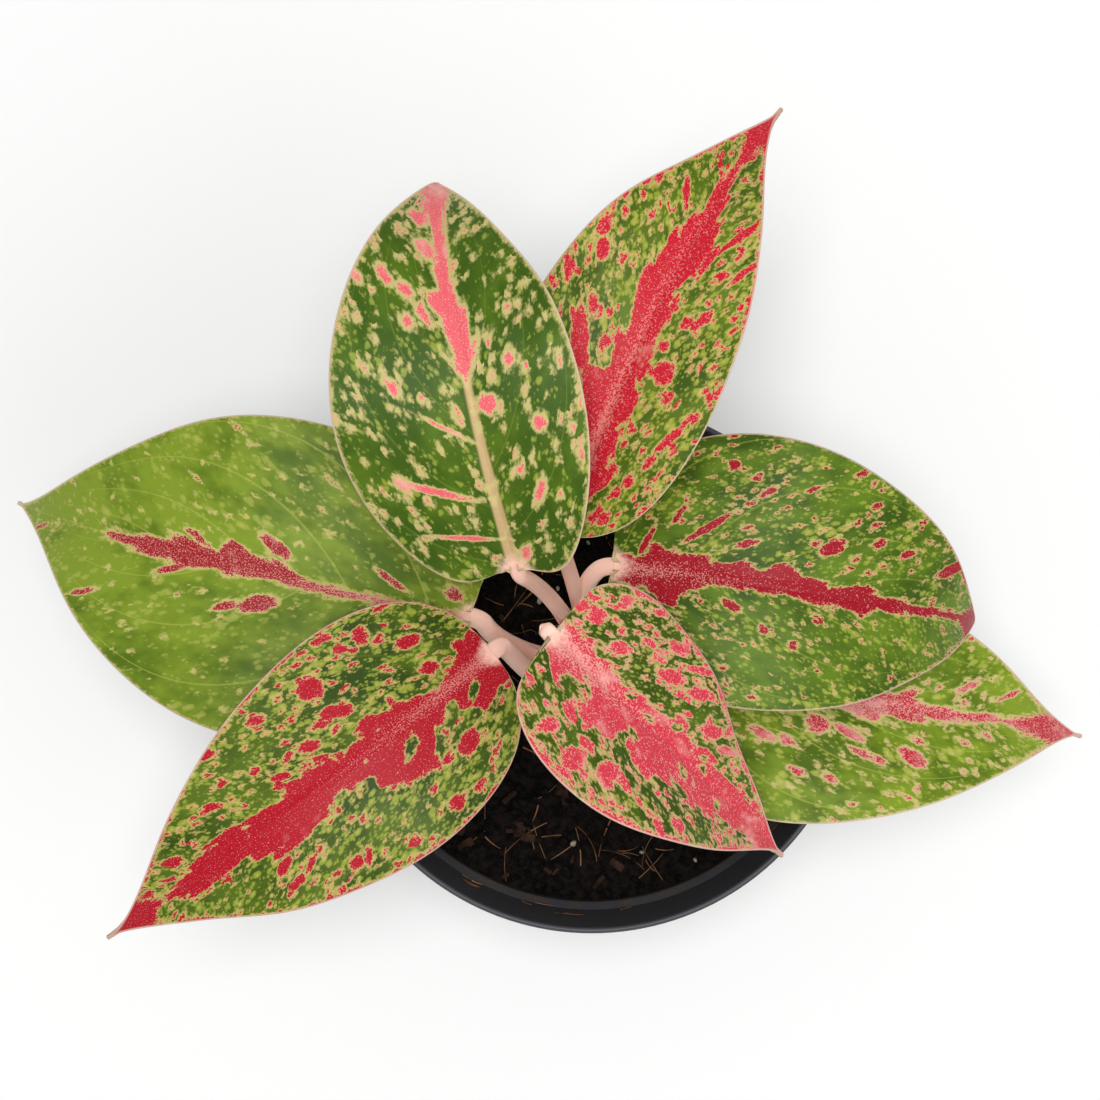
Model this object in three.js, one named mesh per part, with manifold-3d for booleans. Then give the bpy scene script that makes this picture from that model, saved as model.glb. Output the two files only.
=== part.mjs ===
// Potted aglaonema with seven variegated leaves in a round nursery pot.
// Millimetres, +Z up, origin at the centre of the pot's underside.

import * as THREE from 'three';
import { mergeVertices } from 'three/addons/utils/BufferGeometryUtils.js';
import Module from 'manifold-3d';

// Driving dimensions

const RIM_RADIUS = 77.5;
const POT_HEIGHT = 115;
const POT_FOOT_RADIUS = 55;
const POT_WALL = 1.8;
const POT_FLOOR = 2.6;
const COLLAR_HEIGHT = 19;
const COLLAR_FLARE = 2.8;
const SHOULDER_STEP = 2;
const SHOULDER_DROP = 2;
const LIP_ROUND = 0.7;
const FOOT_ROUND = 1.2;
const POT_SIDES = 48;

const DRAIN_HOLES = 8;
const DRAIN_HOLE_SIDES = 12;
const DRAIN_HOLE_RADIUS = 4;
const DRAIN_RING_RADIUS = 42;

const FIT_GAP = 0.3;
const FINEST_EDGE = 0.02;

const SOIL_TOP = 96;
const SOIL_RELIEF = 1.1;
const SOIL_RINGS = 7;
const SOIL_SLOPE = 0.4;
const BARK_CHIPS = 34;
const BARK_LENGTH = [3.5, 7.5];
const BARK_RADIUS = [1.2, 2.2];
const COIR_FIBRES = 26;
const COIR_LENGTH = [9, 17];
const COIR_RADIUS = 0.75;
const BIT_TAPER = 0.8;
const BIT_TILT = 0.5;
const BIT_CLEARANCE = 8;
const SOIL_SEED = 20251;

const CROWN = new THREE.Vector2(1, -3);
const STEM_RADIUS = 6.6;
const STEM_TOP = 118;
const STEM_SUNK = 42;
const STEM_SIDES = 16;
const SCAR_SPACING = 4;
const SCAR_RIDGE = 0.45;
const STEM_BEVEL = 0.8;

const PETIOLE_SIDES = 8;
const PETIOLE_STEPS = 8;
const PETIOLE_SWELL = 0.4;
const PETIOLE_FLATNESS = 0.86;
const LEAVE_PULL = 0.38;
const ARRIVE_PULL = 0.3;
const BEND_REACH = 3.2;
const BEND_STEPS = 4;
const BEND_SHARE = 0.9;
const SHEATH_SWELL = 1.8;
const SHEATH_SHARE = 0.5;

const BLADE_THICKNESS = 0.75;
const BLADE_ROWS = 16;
const BLADE_COLUMNS = [0.3, 0.56, 0.8, 1];
const KEEL_HALF_WIDTH = 1.8;
const KEEL_DEPTH = 1.9;
const KEEL_FADE = 0.8;
const KEEL_SHARE = 0.2;
const TIP_HALF_WIDTH = 0.5;
const TIP_WIDTH = 4.2;
const TIP_TAPER = 1.7;
const LOBE_PLACE = 0.035;
const VEIN_SLANT = 0.05;
const EDGE_WAVE = 0.9;

// Each leaf: where its blade starts, its size, and how it is held.
// heading and sweep are seen from above; rise and droop are the slope of the midrib at base and tip;
// roll and twist turn the blade about its midrib; lobe is how far the base lobes reach back;
// nearBase and nearTip set where the blade is widest; uneven widens its left half.
// The petiole leaves the stem at the height start, towards the compass angle leave, and meets the
// blade along the direction arrive; stalk is its radius there.

const LEAVES = [
  {
    name: 'young_front', base: [-11.2, 12.7, 216], length: 102.8, halfWidth: 30.2,
    heading: -44.4, sweep: -0.5, rise: -10.9, droop: -52.7, roll: -29.7, twist: -10.9,
    lobe: 1.9, nearBase: 0.351, nearTip: 1.182, uneven: -0.061, fold: 12, camber: 0.1,
    waves: 2.5, start: 111, leave: 122, lean: 4, arrive: [122, 80], stalk: 2.1, color: 0xb8565c,
  },
  {
    name: 'back', base: [-21.1, 28.9, 200], length: 136.8, halfWidth: 32.7,
    heading: 106.6, sweep: -11.6, rise: 40.5, droop: -86, roll: -15.1, twist: 27.4,
    lobe: 5.2, nearBase: 0.482, nearTip: 0.823, uneven: 0.113, fold: 9, camber: 0.1,
    waves: 3, start: 109, leave: 112, lean: 27, arrive: [154, 72], stalk: 2.1, color: 0x4f7431,
  },
  {
    name: 'back_right', base: [-8.6, 38.1, 188], length: 143.3, halfWidth: 28.8,
    heading: 72.9, sweep: -21.1, rise: 24.4, droop: -52.5, roll: -9.4, twist: -0.7,
    lobe: -0.5, nearBase: 0.494, nearTip: 0.86, uneven: 0.065, fold: 12, camber: 0.1,
    waves: 3.5, start: 107, leave: 100, lean: 35, arrive: [107, 65], stalk: 2, color: 0x8f3f33,
  },
  {
    name: 'front_left', base: [-27.7, 6.3, 170], length: 141.7, halfWidth: 33.6,
    heading: -140.9, sweep: -4.7, rise: 23.3, droop: -43.8, roll: 0, twist: -16.9,
    lobe: -0.2, nearBase: 0.435, nearTip: 0.996, uneven: -0.034, fold: 12, camber: 0.1,
    waves: 3.5, start: 106, leave: 200, lean: 47, arrive: [140, 74], stalk: 2.5, color: 0x8e3d33,
  },
  {
    name: 'right', base: [5.1, 29.5, 166], length: 135.2, halfWidth: 37.6,
    heading: -6.3, sweep: -6.4, rise: 25.6, droop: -84.5, roll: -4.1, twist: 4.2,
    lobe: 5.8, nearBase: 0.379, nearTip: 0.887, uneven: 0.091, fold: 8, camber: 0.12,
    waves: 3, start: 105, leave: 38, lean: 30, arrive: [42, 42], stalk: 2.4, color: 0x54722b,
  },
  {
    name: 'left', base: [-34.2, 15.3, 152], length: 158.8, halfWidth: 45.5,
    heading: 169.4, sweep: -6.6, rise: 17.5, droop: -64.4, roll: 3.4, twist: -2.7,
    lobe: 5.9, nearBase: 0.48, nearTip: 0.844, uneven: 0.011, fold: 9, camber: 0.1,
    waves: 3, start: 103, leave: 157, lean: 41, arrive: [122, 56], stalk: 2.7, color: 0x6d8a35,
  },
  {
    name: 'low_right', base: [19.2, -8.1, 124], length: 141.1, halfWidth: 37.2,
    heading: 1.4, sweep: -15.6, rise: 20.5, droop: -54.8, roll: -7.1, twist: -11.5,
    lobe: 4.5, nearBase: 0.467, nearTip: 1.052, uneven: 0.034, fold: 10, camber: 0.1,
    waves: 3, start: 101, leave: -22, lean: 44, arrive: [-8, 26], stalk: 2.5, color: 0x7b9b3d,
  },
];

// Finishes

function plastic() {
  return new THREE.MeshStandardMaterial({ color: 0x2f2f35, roughness: 0.6, metalness: 0 });
}

function pottingMix() {
  return new THREE.MeshStandardMaterial({ color: 0x1c1411, roughness: 0.95, metalness: 0 });
}

function caneSkin() {
  return new THREE.MeshStandardMaterial({ color: 0x9c7a5c, roughness: 0.7, metalness: 0 });
}

function petioleSkin() {
  return new THREE.MeshStandardMaterial({ color: 0xe8b7a6, roughness: 0.45, metalness: 0 });
}

function bladeSkin(color) {
  return new THREE.MeshStandardMaterial({ color, roughness: 0.42, metalness: 0 });
}

// Solids

const wasm = await Module();
wasm.setup();

function toSolid(geometry) {
  const bare = geometry.clone();
  bare.deleteAttribute('normal');
  bare.deleteAttribute('uv');
  const merged = mergeVertices(bare, 1e-4);
  return new wasm.Manifold(new wasm.Mesh({
    numProp: 3,
    vertProperties: new Float32Array(merged.attributes.position.array),
    triVerts: new Uint32Array(merged.index.array),
  }));
}

function toGeometry(solid) {
  const mesh = solid.getMesh();
  const geometry = new THREE.BufferGeometry();
  geometry.setAttribute('position', new THREE.BufferAttribute(mesh.vertProperties, 3));
  geometry.setIndex(new THREE.BufferAttribute(mesh.triVerts, 1));
  geometry.computeVertexNormals();
  return geometry;
}

// The main body that a cut or a join leaves, without its slivers.
function mainBody(solid) {
  const bodies = solid.simplify(FINEST_EDGE).decompose();
  return bodies.sort((p, q) => q.volume() - p.volume())[0];
}

function namedMesh(name, geometry, material) {
  const mesh = new THREE.Mesh(geometry, material);
  mesh.name = name;
  return mesh;
}

function indexedGeometry(points, faces) {
  const geometry = new THREE.BufferGeometry();
  const places = points.flatMap((point) => point.toArray());
  geometry.setAttribute('position', new THREE.Float32BufferAttribute(places, 3));
  geometry.setIndex(faces.flat());
  return geometry;
}

function turnedSolid(profile, sides) {
  const lathe = new THREE.LatheGeometry(profile.map(([r, z]) => new THREE.Vector2(r, z)), sides);
  return lathe.rotateX(Math.PI / 2);
}

// A closed body through rings of points, each ring running anticlockwise about the way forward.
function loftedSolid(rings) {
  const count = rings[0].length;
  const points = rings.flat();
  const faces = [];
  for (let i = 0; i < rings.length - 1; i++) {
    for (let j = 0; j < count; j++) {
      const here = i * count + j;
      const next = i * count + (j + 1) % count;
      faces.push([here, next, here + count], [next, next + count, here + count]);
    }
  }
  const last = (rings.length - 1) * count;
  for (let j = 1; j < count - 1; j++) {
    faces.push([0, j + 1, j], [last, last + j, last + j + 1]);
  }
  return indexedGeometry(points, faces);
}

// A repeatable draw between 0 and 1.
function seededDraw(seed) {
  let state = seed;
  return () => {
    state = (state * 1664525 + 1013904223) % 4294967296;
    return state / 4294967296;
  };
}

// Pot

const COLLAR_BOTTOM = POT_HEIGHT - COLLAR_HEIGHT;
const BODY_TOP = COLLAR_BOTTOM - SHOULDER_DROP;
const BODY_TOP_RADIUS = RIM_RADIUS - COLLAR_FLARE - SHOULDER_STEP;

function bodyRadius(z) {
  return POT_FOOT_RADIUS + (BODY_TOP_RADIUS - POT_FOOT_RADIUS) * (z / BODY_TOP);
}

function innerRadius(z) {
  if (z <= BODY_TOP) return bodyRadius(z) - POT_WALL;
  const collarInner = RIM_RADIUS - COLLAR_FLARE - POT_WALL;
  if (z < COLLAR_BOTTOM) {
    const share = (z - BODY_TOP) / SHOULDER_DROP;
    return THREE.MathUtils.lerp(BODY_TOP_RADIUS - POT_WALL, collarInner, share);
  }
  return collarInner + COLLAR_FLARE * ((z - COLLAR_BOTTOM) / COLLAR_HEIGHT);
}

function potProfile() {
  return [
    [0, 0],
    [POT_FOOT_RADIUS - FOOT_ROUND, 0],
    [bodyRadius(FOOT_ROUND), FOOT_ROUND],
    [BODY_TOP_RADIUS, BODY_TOP],
    [RIM_RADIUS - COLLAR_FLARE, COLLAR_BOTTOM],
    [RIM_RADIUS, POT_HEIGHT - LIP_ROUND],
    [RIM_RADIUS - LIP_ROUND / 2, POT_HEIGHT],
    [RIM_RADIUS - POT_WALL + LIP_ROUND / 2, POT_HEIGHT],
    [innerRadius(POT_HEIGHT - LIP_ROUND), POT_HEIGHT - LIP_ROUND],
    [innerRadius(COLLAR_BOTTOM), COLLAR_BOTTOM],
    [innerRadius(BODY_TOP), BODY_TOP],
    [innerRadius(POT_FLOOR), POT_FLOOR],
    [0, POT_FLOOR],
  ];
}

function uprightCylinder(radius, height, sides) {
  return new THREE.CylinderGeometry(radius, radius, height, sides).rotateX(Math.PI / 2);
}

function makePot() {
  let pot = toSolid(turnedSolid(potProfile(), POT_SIDES));
  for (let i = 0; i < DRAIN_HOLES; i++) {
    const angle = (i + 0.5) * 2 * Math.PI / DRAIN_HOLES;
    const hole = uprightCylinder(DRAIN_HOLE_RADIUS, 4 * POT_FLOOR, DRAIN_HOLE_SIDES);
    hole.translate(DRAIN_RING_RADIUS * Math.cos(angle), DRAIN_RING_RADIUS * Math.sin(angle), 0);
    pot = pot.subtract(toSolid(hole));
  }
  return namedMesh('pot', toGeometry(pot), plastic());
}

// Potting mix, with a plain hole for the stem

function soilHeight(x, y) {
  const ripple = Math.sin(x * 0.21 + 1.3) * Math.cos(y * 0.17) + 0.6 * Math.sin(x * 0.09 - y * 0.31);
  return SOIL_TOP + SOIL_RELIEF * ripple / 1.6;
}

function soilEdge(z) {
  return (innerRadius(z) - FIT_GAP) * Math.cos(Math.PI / POT_SIDES);
}

function soilBody() {
  const floor = POT_FLOOR + FIT_GAP;
  const sideTop = BODY_TOP - 1;
  const topRadius = soilEdge(sideTop) - SOIL_SLOPE;
  const profile = [[0, floor], [soilEdge(floor), floor], [soilEdge(sideTop), sideTop]];
  for (let i = 0; i <= SOIL_RINGS; i++) profile.push([topRadius * (1 - i / SOIL_RINGS), SOIL_TOP]);
  const geometry = turnedSolid(profile, POT_SIDES);
  const position = geometry.attributes.position;
  for (let i = 0; i < position.count; i++) {
    if (position.getZ(i) > BODY_TOP) position.setZ(i, soilHeight(position.getX(i), position.getY(i)));
  }
  return toSolid(geometry);
}

// A rod lying on the mix, away from the stem and the wall.
function soilBit(draw, long, thick, sides) {
  const angle = draw() * 2 * Math.PI;
  const nearest = STEM_RADIUS + BIT_CLEARANCE;
  const furthest = soilEdge(SOIL_TOP) - long / 2 - 3;
  const reach = Math.sqrt(THREE.MathUtils.lerp(nearest ** 2, furthest ** 2, draw()));
  const x = CROWN.x * (1 - reach / furthest) + reach * Math.cos(angle);
  const y = CROWN.y * (1 - reach / furthest) + reach * Math.sin(angle);
  const bit = new THREE.CylinderGeometry(BIT_TAPER * thick, thick, long, sides);
  bit.rotateX((draw() - 0.5) * BIT_TILT);
  bit.rotateZ(draw() * Math.PI);
  bit.translate(x, y, soilHeight(x, y) + thick * 0.1);
  return toSolid(bit);
}

function barkChip(draw) {
  const long = THREE.MathUtils.lerp(...BARK_LENGTH, draw());
  return soilBit(draw, long, THREE.MathUtils.lerp(...BARK_RADIUS, draw()), 5);
}

function coirFibre(draw) {
  return soilBit(draw, THREE.MathUtils.lerp(...COIR_LENGTH, draw()), COIR_RADIUS, 4);
}

function makeSoil() {
  const draw = seededDraw(SOIL_SEED);
  let soil = soilBody();
  for (let i = 0; i < BARK_CHIPS; i++) soil = soil.add(barkChip(draw));
  for (let i = 0; i < COIR_FIBRES; i++) soil = soil.add(coirFibre(draw));
  const hole = uprightCylinder(STEM_RADIUS + SCAR_RIDGE + FIT_GAP, 2 * STEM_SUNK, STEM_SIDES);
  hole.translate(CROWN.x, CROWN.y, SOIL_TOP);
  return namedMesh('potting_mix', toGeometry(mainBody(soil.subtract(toSolid(hole)))), pottingMix());
}

// Stem: a short cane with leaf scars, down in the mix

function stemProfile() {
  const bottom = SOIL_TOP - STEM_SUNK + FIT_GAP;
  const profile = [[0, bottom], [STEM_RADIUS * 0.8, bottom]];
  for (let z = SOIL_TOP; z < STEM_TOP - SCAR_SPACING; z += SCAR_SPACING) {
    profile.push([STEM_RADIUS, z - SCAR_SPACING / 3], [STEM_RADIUS + SCAR_RIDGE, z]);
  }
  profile.push([STEM_RADIUS, STEM_TOP - STEM_BEVEL], [STEM_RADIUS - STEM_BEVEL, STEM_TOP], [0, STEM_TOP]);
  return profile;
}

function makeStem() {
  const cane = turnedSolid(stemProfile(), STEM_SIDES).translate(CROWN.x, CROWN.y, 0);
  return namedMesh('stem', toGeometry(toSolid(cane)), caneSkin());
}

// Leaf shape

const radians = THREE.MathUtils.degToRad;

function direction(heading, rise) {
  const level = Math.cos(radians(rise));
  return new THREE.Vector3(
    level * Math.cos(radians(heading)),
    level * Math.sin(radians(heading)),
    Math.sin(radians(rise)),
  );
}

// Half-width of the blade, as a share of its widest, at the share t of its length.
function widthShare(leaf, t) {
  if (t <= 0 || t >= 1) return 0;
  const { nearBase, nearTip } = leaf;
  const widest = nearBase / (nearBase + nearTip);
  const scale = 1 / (widest ** nearBase * (1 - widest) ** nearTip);
  const body = scale * t ** nearBase * (1 - t) ** nearTip;
  const tip = TIP_WIDTH * (1 - t) ** TIP_TAPER;
  return (body ** -4 + tip ** -4) ** -0.25;
}

function midribSlope(leaf, share) {
  return leaf.rise + (leaf.droop - leaf.rise) * share ** 1.3;
}

function midribTangent(leaf, share) {
  return direction(leaf.heading + leaf.sweep * share, midribSlope(leaf, share));
}

// The midrib's points at even steps along the blade.
function midribCurve(leaf) {
  const steps = 200;
  const points = [new THREE.Vector3(...leaf.base)];
  for (let i = 0; i < steps; i++) {
    const tangent = midribTangent(leaf, (i + 0.5) / steps);
    points.push(points[i].clone().addScaledVector(tangent, leaf.length / steps));
  }
  return points;
}

function pointOnMidrib(leaf, curve, along) {
  const steps = curve.length - 1;
  const place = THREE.MathUtils.clamp(along / leaf.length, 0, 1) * steps;
  const index = Math.min(Math.floor(place), steps - 1);
  const point = curve[index].clone().lerp(curve[index + 1], place - index);
  const inside = THREE.MathUtils.clamp(along, 0, leaf.length);
  return point.addScaledVector(midribTangent(leaf, inside / leaf.length), along - inside);
}

// A point of the blade's upper face: along the midrib, across it (left is positive) and raised by lift.
function bladePoint(leaf, curve, along, across, lift = 0) {
  const share = THREE.MathUtils.clamp(along / leaf.length, 0, 1);
  const heading = radians(leaf.heading + leaf.sweep * share);
  const tangent = midribTangent(leaf, share);
  const level = new THREE.Vector3(-Math.sin(heading), Math.cos(heading), 0);
  const up = tangent.clone().cross(level);
  const turn = radians(leaf.roll + leaf.twist * share);
  const side = level.clone().multiplyScalar(Math.cos(turn)).addScaledVector(up, Math.sin(turn));
  const normal = up.clone().multiplyScalar(Math.cos(turn)).addScaledVector(level, -Math.sin(turn));
  const fold = radians(leaf.fold);
  const softCrease = 3;
  const rise = Math.sin(fold) * (Math.hypot(across, softCrease) - softCrease)
    - leaf.camber * across ** 2 / leaf.halfWidth;
  return pointOnMidrib(leaf, curve, along)
    .addScaledVector(side, across * Math.cos(fold))
    .addScaledVector(normal, rise + lift);
}

function rowShare(row) {
  const u = row / BLADE_ROWS;
  const fromBase = u ** 1.7;
  return fromBase / (fromBase + (1 - u) ** 1.25);
}

function halfWidthAt(leaf, t, side) {
  const least = THREE.MathUtils.lerp(leaf.stalk, TIP_HALF_WIDTH, t);
  return Math.max(leaf.halfWidth * widthShare(leaf, t) * (1 + side * leaf.uneven), least);
}

// How far the midrib's keel stands below the blade.
function keelDrop(t, across) {
  const offCentre = Math.min(1, Math.abs(across) / KEEL_HALF_WIDTH);
  return KEEL_DEPTH * (1 - KEEL_FADE * t) * Math.sqrt(1 - offCentre ** 2);
}

// One point of the blade's grid, given the share t along the outline and v across, -1 to 1.
function gridPoint(leaf, curve, t, v) {
  const side = Math.sign(v);
  const lobe = leaf.lobe * (t / LOBE_PLACE) * Math.exp(1 - t / LOBE_PLACE);
  const onMidrib = leaf.length * (t - VEIN_SLANT * Math.sin(Math.PI * t));
  const onEdge = leaf.length * t - lobe;
  const along = THREE.MathUtils.lerp(onMidrib, onEdge, Math.abs(v) ** 1.5);
  const across = v * halfWidthAt(leaf, t, side);
  const swell = EDGE_WAVE * v ** 2 * Math.sin(Math.PI * t);
  const wave = swell * Math.sin(2 * Math.PI * leaf.waves * t + side);
  return bladePoint(leaf, curve, along, across, wave);
}

function rowPlaces(leaf, t) {
  const keel = Math.min(KEEL_SHARE, KEEL_HALF_WIDTH / halfWidthAt(leaf, t, 1));
  const right = [keel, ...BLADE_COLUMNS];
  return [...right.map((v) => -v).reverse(), 0, ...right];
}

function bladeGeometry(leaf) {
  const curve = midribCurve(leaf);
  const upper = [];
  for (let row = 0; row <= BLADE_ROWS; row++) {
    const t = rowShare(row);
    upper.push(rowPlaces(leaf, t).map((v) => gridPoint(leaf, curve, t, v)));
  }
  const columns = upper[0].length;
  const lower = upper.map((points, row) => points.map((point, column) => {
    const back = upper[Math.max(row - 1, 0)][column];
    const ahead = upper[Math.min(row + 1, BLADE_ROWS)][column];
    const right = points[Math.max(column - 1, 0)];
    const left = points[Math.min(column + 1, columns - 1)];
    const normal = ahead.clone().sub(back).cross(left.clone().sub(right)).normalize();
    const t = rowShare(row);
    const v = rowPlaces(leaf, t)[column];
    const drop = keelDrop(t, v * halfWidthAt(leaf, t, Math.sign(v)));
    return point.clone().addScaledVector(normal, -BLADE_THICKNESS - drop);
  }));
  return closedSheet(upper, lower);
}

// Joins an upper and a lower face that have the same grid, with a rim round the edge.
function closedSheet(upper, lower) {
  const rows = upper.length;
  const columns = upper[0].length;
  const under = rows * columns;
  const at = (row, column) => row * columns + column;
  const faces = [];
  for (let row = 0; row < rows - 1; row++) {
    for (let column = 0; column < columns - 1; column++) {
      const [a, b] = [at(row, column), at(row + 1, column)];
      const [c, d] = [at(row + 1, column + 1), at(row, column + 1)];
      faces.push([a, b, c], [a, c, d]);
      faces.push([under + a, under + c, under + b], [under + a, under + d, under + c]);
    }
  }
  const rim = [];
  for (let column = 0; column < columns; column++) rim.push(at(0, column));
  for (let row = 1; row < rows; row++) rim.push(at(row, columns - 1));
  for (let column = columns - 2; column >= 0; column--) rim.push(at(rows - 1, column));
  for (let row = rows - 2; row > 0; row--) rim.push(at(row, 0));
  rim.forEach((here, i) => {
    const next = rim[(i + 1) % rim.length];
    faces.push([here, next, under + next], [here, under + next, under + here]);
  });
  return indexedGeometry([...upper.flat(), ...lower.flat()], faces);
}

function makeBlade(leaf) {
  return namedMesh(`blade_${leaf.name}`, bladeGeometry(leaf), bladeSkin(leaf.color));
}

// Petioles

// The petiole's middle line: up from the stem, then round the bend below the blade to its end face.
function petiolePath(leaf) {
  const foot = new THREE.Vector3(CROWN.x, CROWN.y, leaf.start);
  const ahead = midribTangent(leaf, 0);
  const arrive = direction(...leaf.arrive);
  const end = bladeRoot(leaf).addScaledVector(ahead, -FIT_GAP);
  const corner = end.clone().addScaledVector(ahead, -BEND_REACH);
  const bend = corner.clone().addScaledVector(arrive, -BEND_REACH);
  const span = foot.distanceTo(bend);
  const low = foot.clone().addScaledVector(direction(leaf.leave, 90 - leaf.lean), span * LEAVE_PULL);
  const high = bend.clone().addScaledVector(arrive, -span * ARRIVE_PULL);
  const path = new THREE.CurvePath();
  path.add(new THREE.CubicBezierCurve3(foot, low, high, bend));
  path.add(new THREE.QuadraticBezierCurve3(bend, corner, end));
  return path;
}

// The middle of the blade's end face, between its upper side and the keel.
function bladeRoot(leaf) {
  const curve = midribCurve(leaf);
  return bladePoint(leaf, curve, 0, 0, -(BLADE_THICKNESS + KEEL_DEPTH) / 2);
}

// The petiole is wide where it sheathes the stem and slim where it meets the blade.
function petioleRadius(leaf, share) {
  const sheath = THREE.MathUtils.smoothstep(1 - share / SHEATH_SHARE, 0, 1);
  return leaf.stalk + PETIOLE_SWELL * (1 - share) + SHEATH_SWELL * sheath;
}

function petioleRing(centre, forward, radius) {
  const side = new THREE.Vector3(0, 0, 1).cross(forward).normalize();
  const over = forward.clone().cross(side);
  return Array.from({ length: PETIOLE_SIDES }, (_, k) => {
    const angle = 2 * Math.PI * k / PETIOLE_SIDES;
    return centre.clone()
      .addScaledVector(side, radius * Math.cos(angle))
      .addScaledVector(over, radius * PETIOLE_FLATNESS * Math.sin(angle));
  });
}

function petioleGeometry(leaf, grow) {
  const [rising, bending] = petiolePath(leaf).curves;
  const stations = [];
  for (let i = 0; i < PETIOLE_STEPS; i++) {
    const place = i / PETIOLE_STEPS;
    stations.push([rising, place, BEND_SHARE * place]);
  }
  for (let i = 0; i <= BEND_STEPS; i++) {
    const place = i / BEND_STEPS;
    stations.push([bending, place, THREE.MathUtils.lerp(BEND_SHARE, 1, place)]);
  }
  return loftedSolid(stations.map(([curve, place, share]) => (
    petioleRing(curve.getPoint(place), curve.getTangent(place), petioleRadius(leaf, share) + grow)
  )));
}

// The space that the stem takes in the petioles' sheaths.
function stemSeat() {
  const seatRadius = STEM_RADIUS + SCAR_RIDGE + FIT_GAP;
  const seat = uprightCylinder(seatRadius, STEM_SUNK, STEM_SIDES);
  return seat.translate(CROWN.x, CROWN.y, STEM_TOP + FIT_GAP - STEM_SUNK / 2);
}

// A petiole stands clear of the stem and of the younger petioles that it sheathes.
function makePetiole(leaf, younger) {
  let petiole = toSolid(petioleGeometry(leaf, 0)).subtract(toSolid(stemSeat()));
  for (const other of younger) petiole = petiole.subtract(toSolid(petioleGeometry(other, FIT_GAP)));
  return namedMesh(`petiole_${leaf.name}`, toGeometry(mainBody(petiole)), petioleSkin());
}

// The whole plant

const plant = new THREE.Group();
plant.add(makePot(), makeSoil(), makeStem());
LEAVES.forEach((leaf, i) => plant.add(makePetiole(leaf, LEAVES.slice(0, i)), makeBlade(leaf)));

export default plant;
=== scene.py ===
import math
import random
from types import SimpleNamespace

import bmesh
import bpy
import numpy as np
from bpy.props import FloatProperty, FloatVectorProperty, IntProperty, PointerProperty
from mathutils import Euler, Matrix, Vector, noise


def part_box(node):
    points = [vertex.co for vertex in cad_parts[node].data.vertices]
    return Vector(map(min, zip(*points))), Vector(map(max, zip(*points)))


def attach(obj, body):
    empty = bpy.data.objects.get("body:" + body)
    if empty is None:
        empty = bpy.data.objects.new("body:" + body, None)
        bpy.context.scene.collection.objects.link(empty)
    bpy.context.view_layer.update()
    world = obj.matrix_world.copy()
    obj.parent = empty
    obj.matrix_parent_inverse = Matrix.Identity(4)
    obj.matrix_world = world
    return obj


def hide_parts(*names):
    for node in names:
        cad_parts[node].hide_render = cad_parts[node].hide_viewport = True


bl_info = {
    "name": "Potted aglaonema",
    "version": (1, 0, 0),
    "blender": (4, 5, 0),
    "location": "3D View > Sidebar > Potted Plant",
    "description": "Builds a variegated aglaonema in a nursery pot, leaf by leaf",
    "category": "Add Mesh",
}

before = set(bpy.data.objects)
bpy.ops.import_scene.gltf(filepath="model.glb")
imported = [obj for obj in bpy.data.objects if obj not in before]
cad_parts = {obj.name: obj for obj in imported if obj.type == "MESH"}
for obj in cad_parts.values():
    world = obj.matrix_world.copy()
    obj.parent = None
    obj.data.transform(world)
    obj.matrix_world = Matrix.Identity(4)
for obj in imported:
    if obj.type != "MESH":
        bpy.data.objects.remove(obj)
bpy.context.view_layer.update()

MM = 0.001
BODY = "root"

# Where the pieces stand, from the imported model

POT_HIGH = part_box("pot")[1]
SOIL_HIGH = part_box("potting_mix")[1]
CANE_LOW, CANE_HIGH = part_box("stem")

# How each leaf is held, in millimetres and degrees.
# heading and sweep are seen from above; rise and droop are the slope of the midrib at base and tip;
# roll and twist turn the blade about its midrib; lobe is how far the base lobes reach back;
# near_base and near_tip set where the blade is widest; uneven widens its left half.
# start, leave and lean are the petiole's foot on the stem; arrive is its direction below the blade
# and stalk its radius there.

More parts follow.
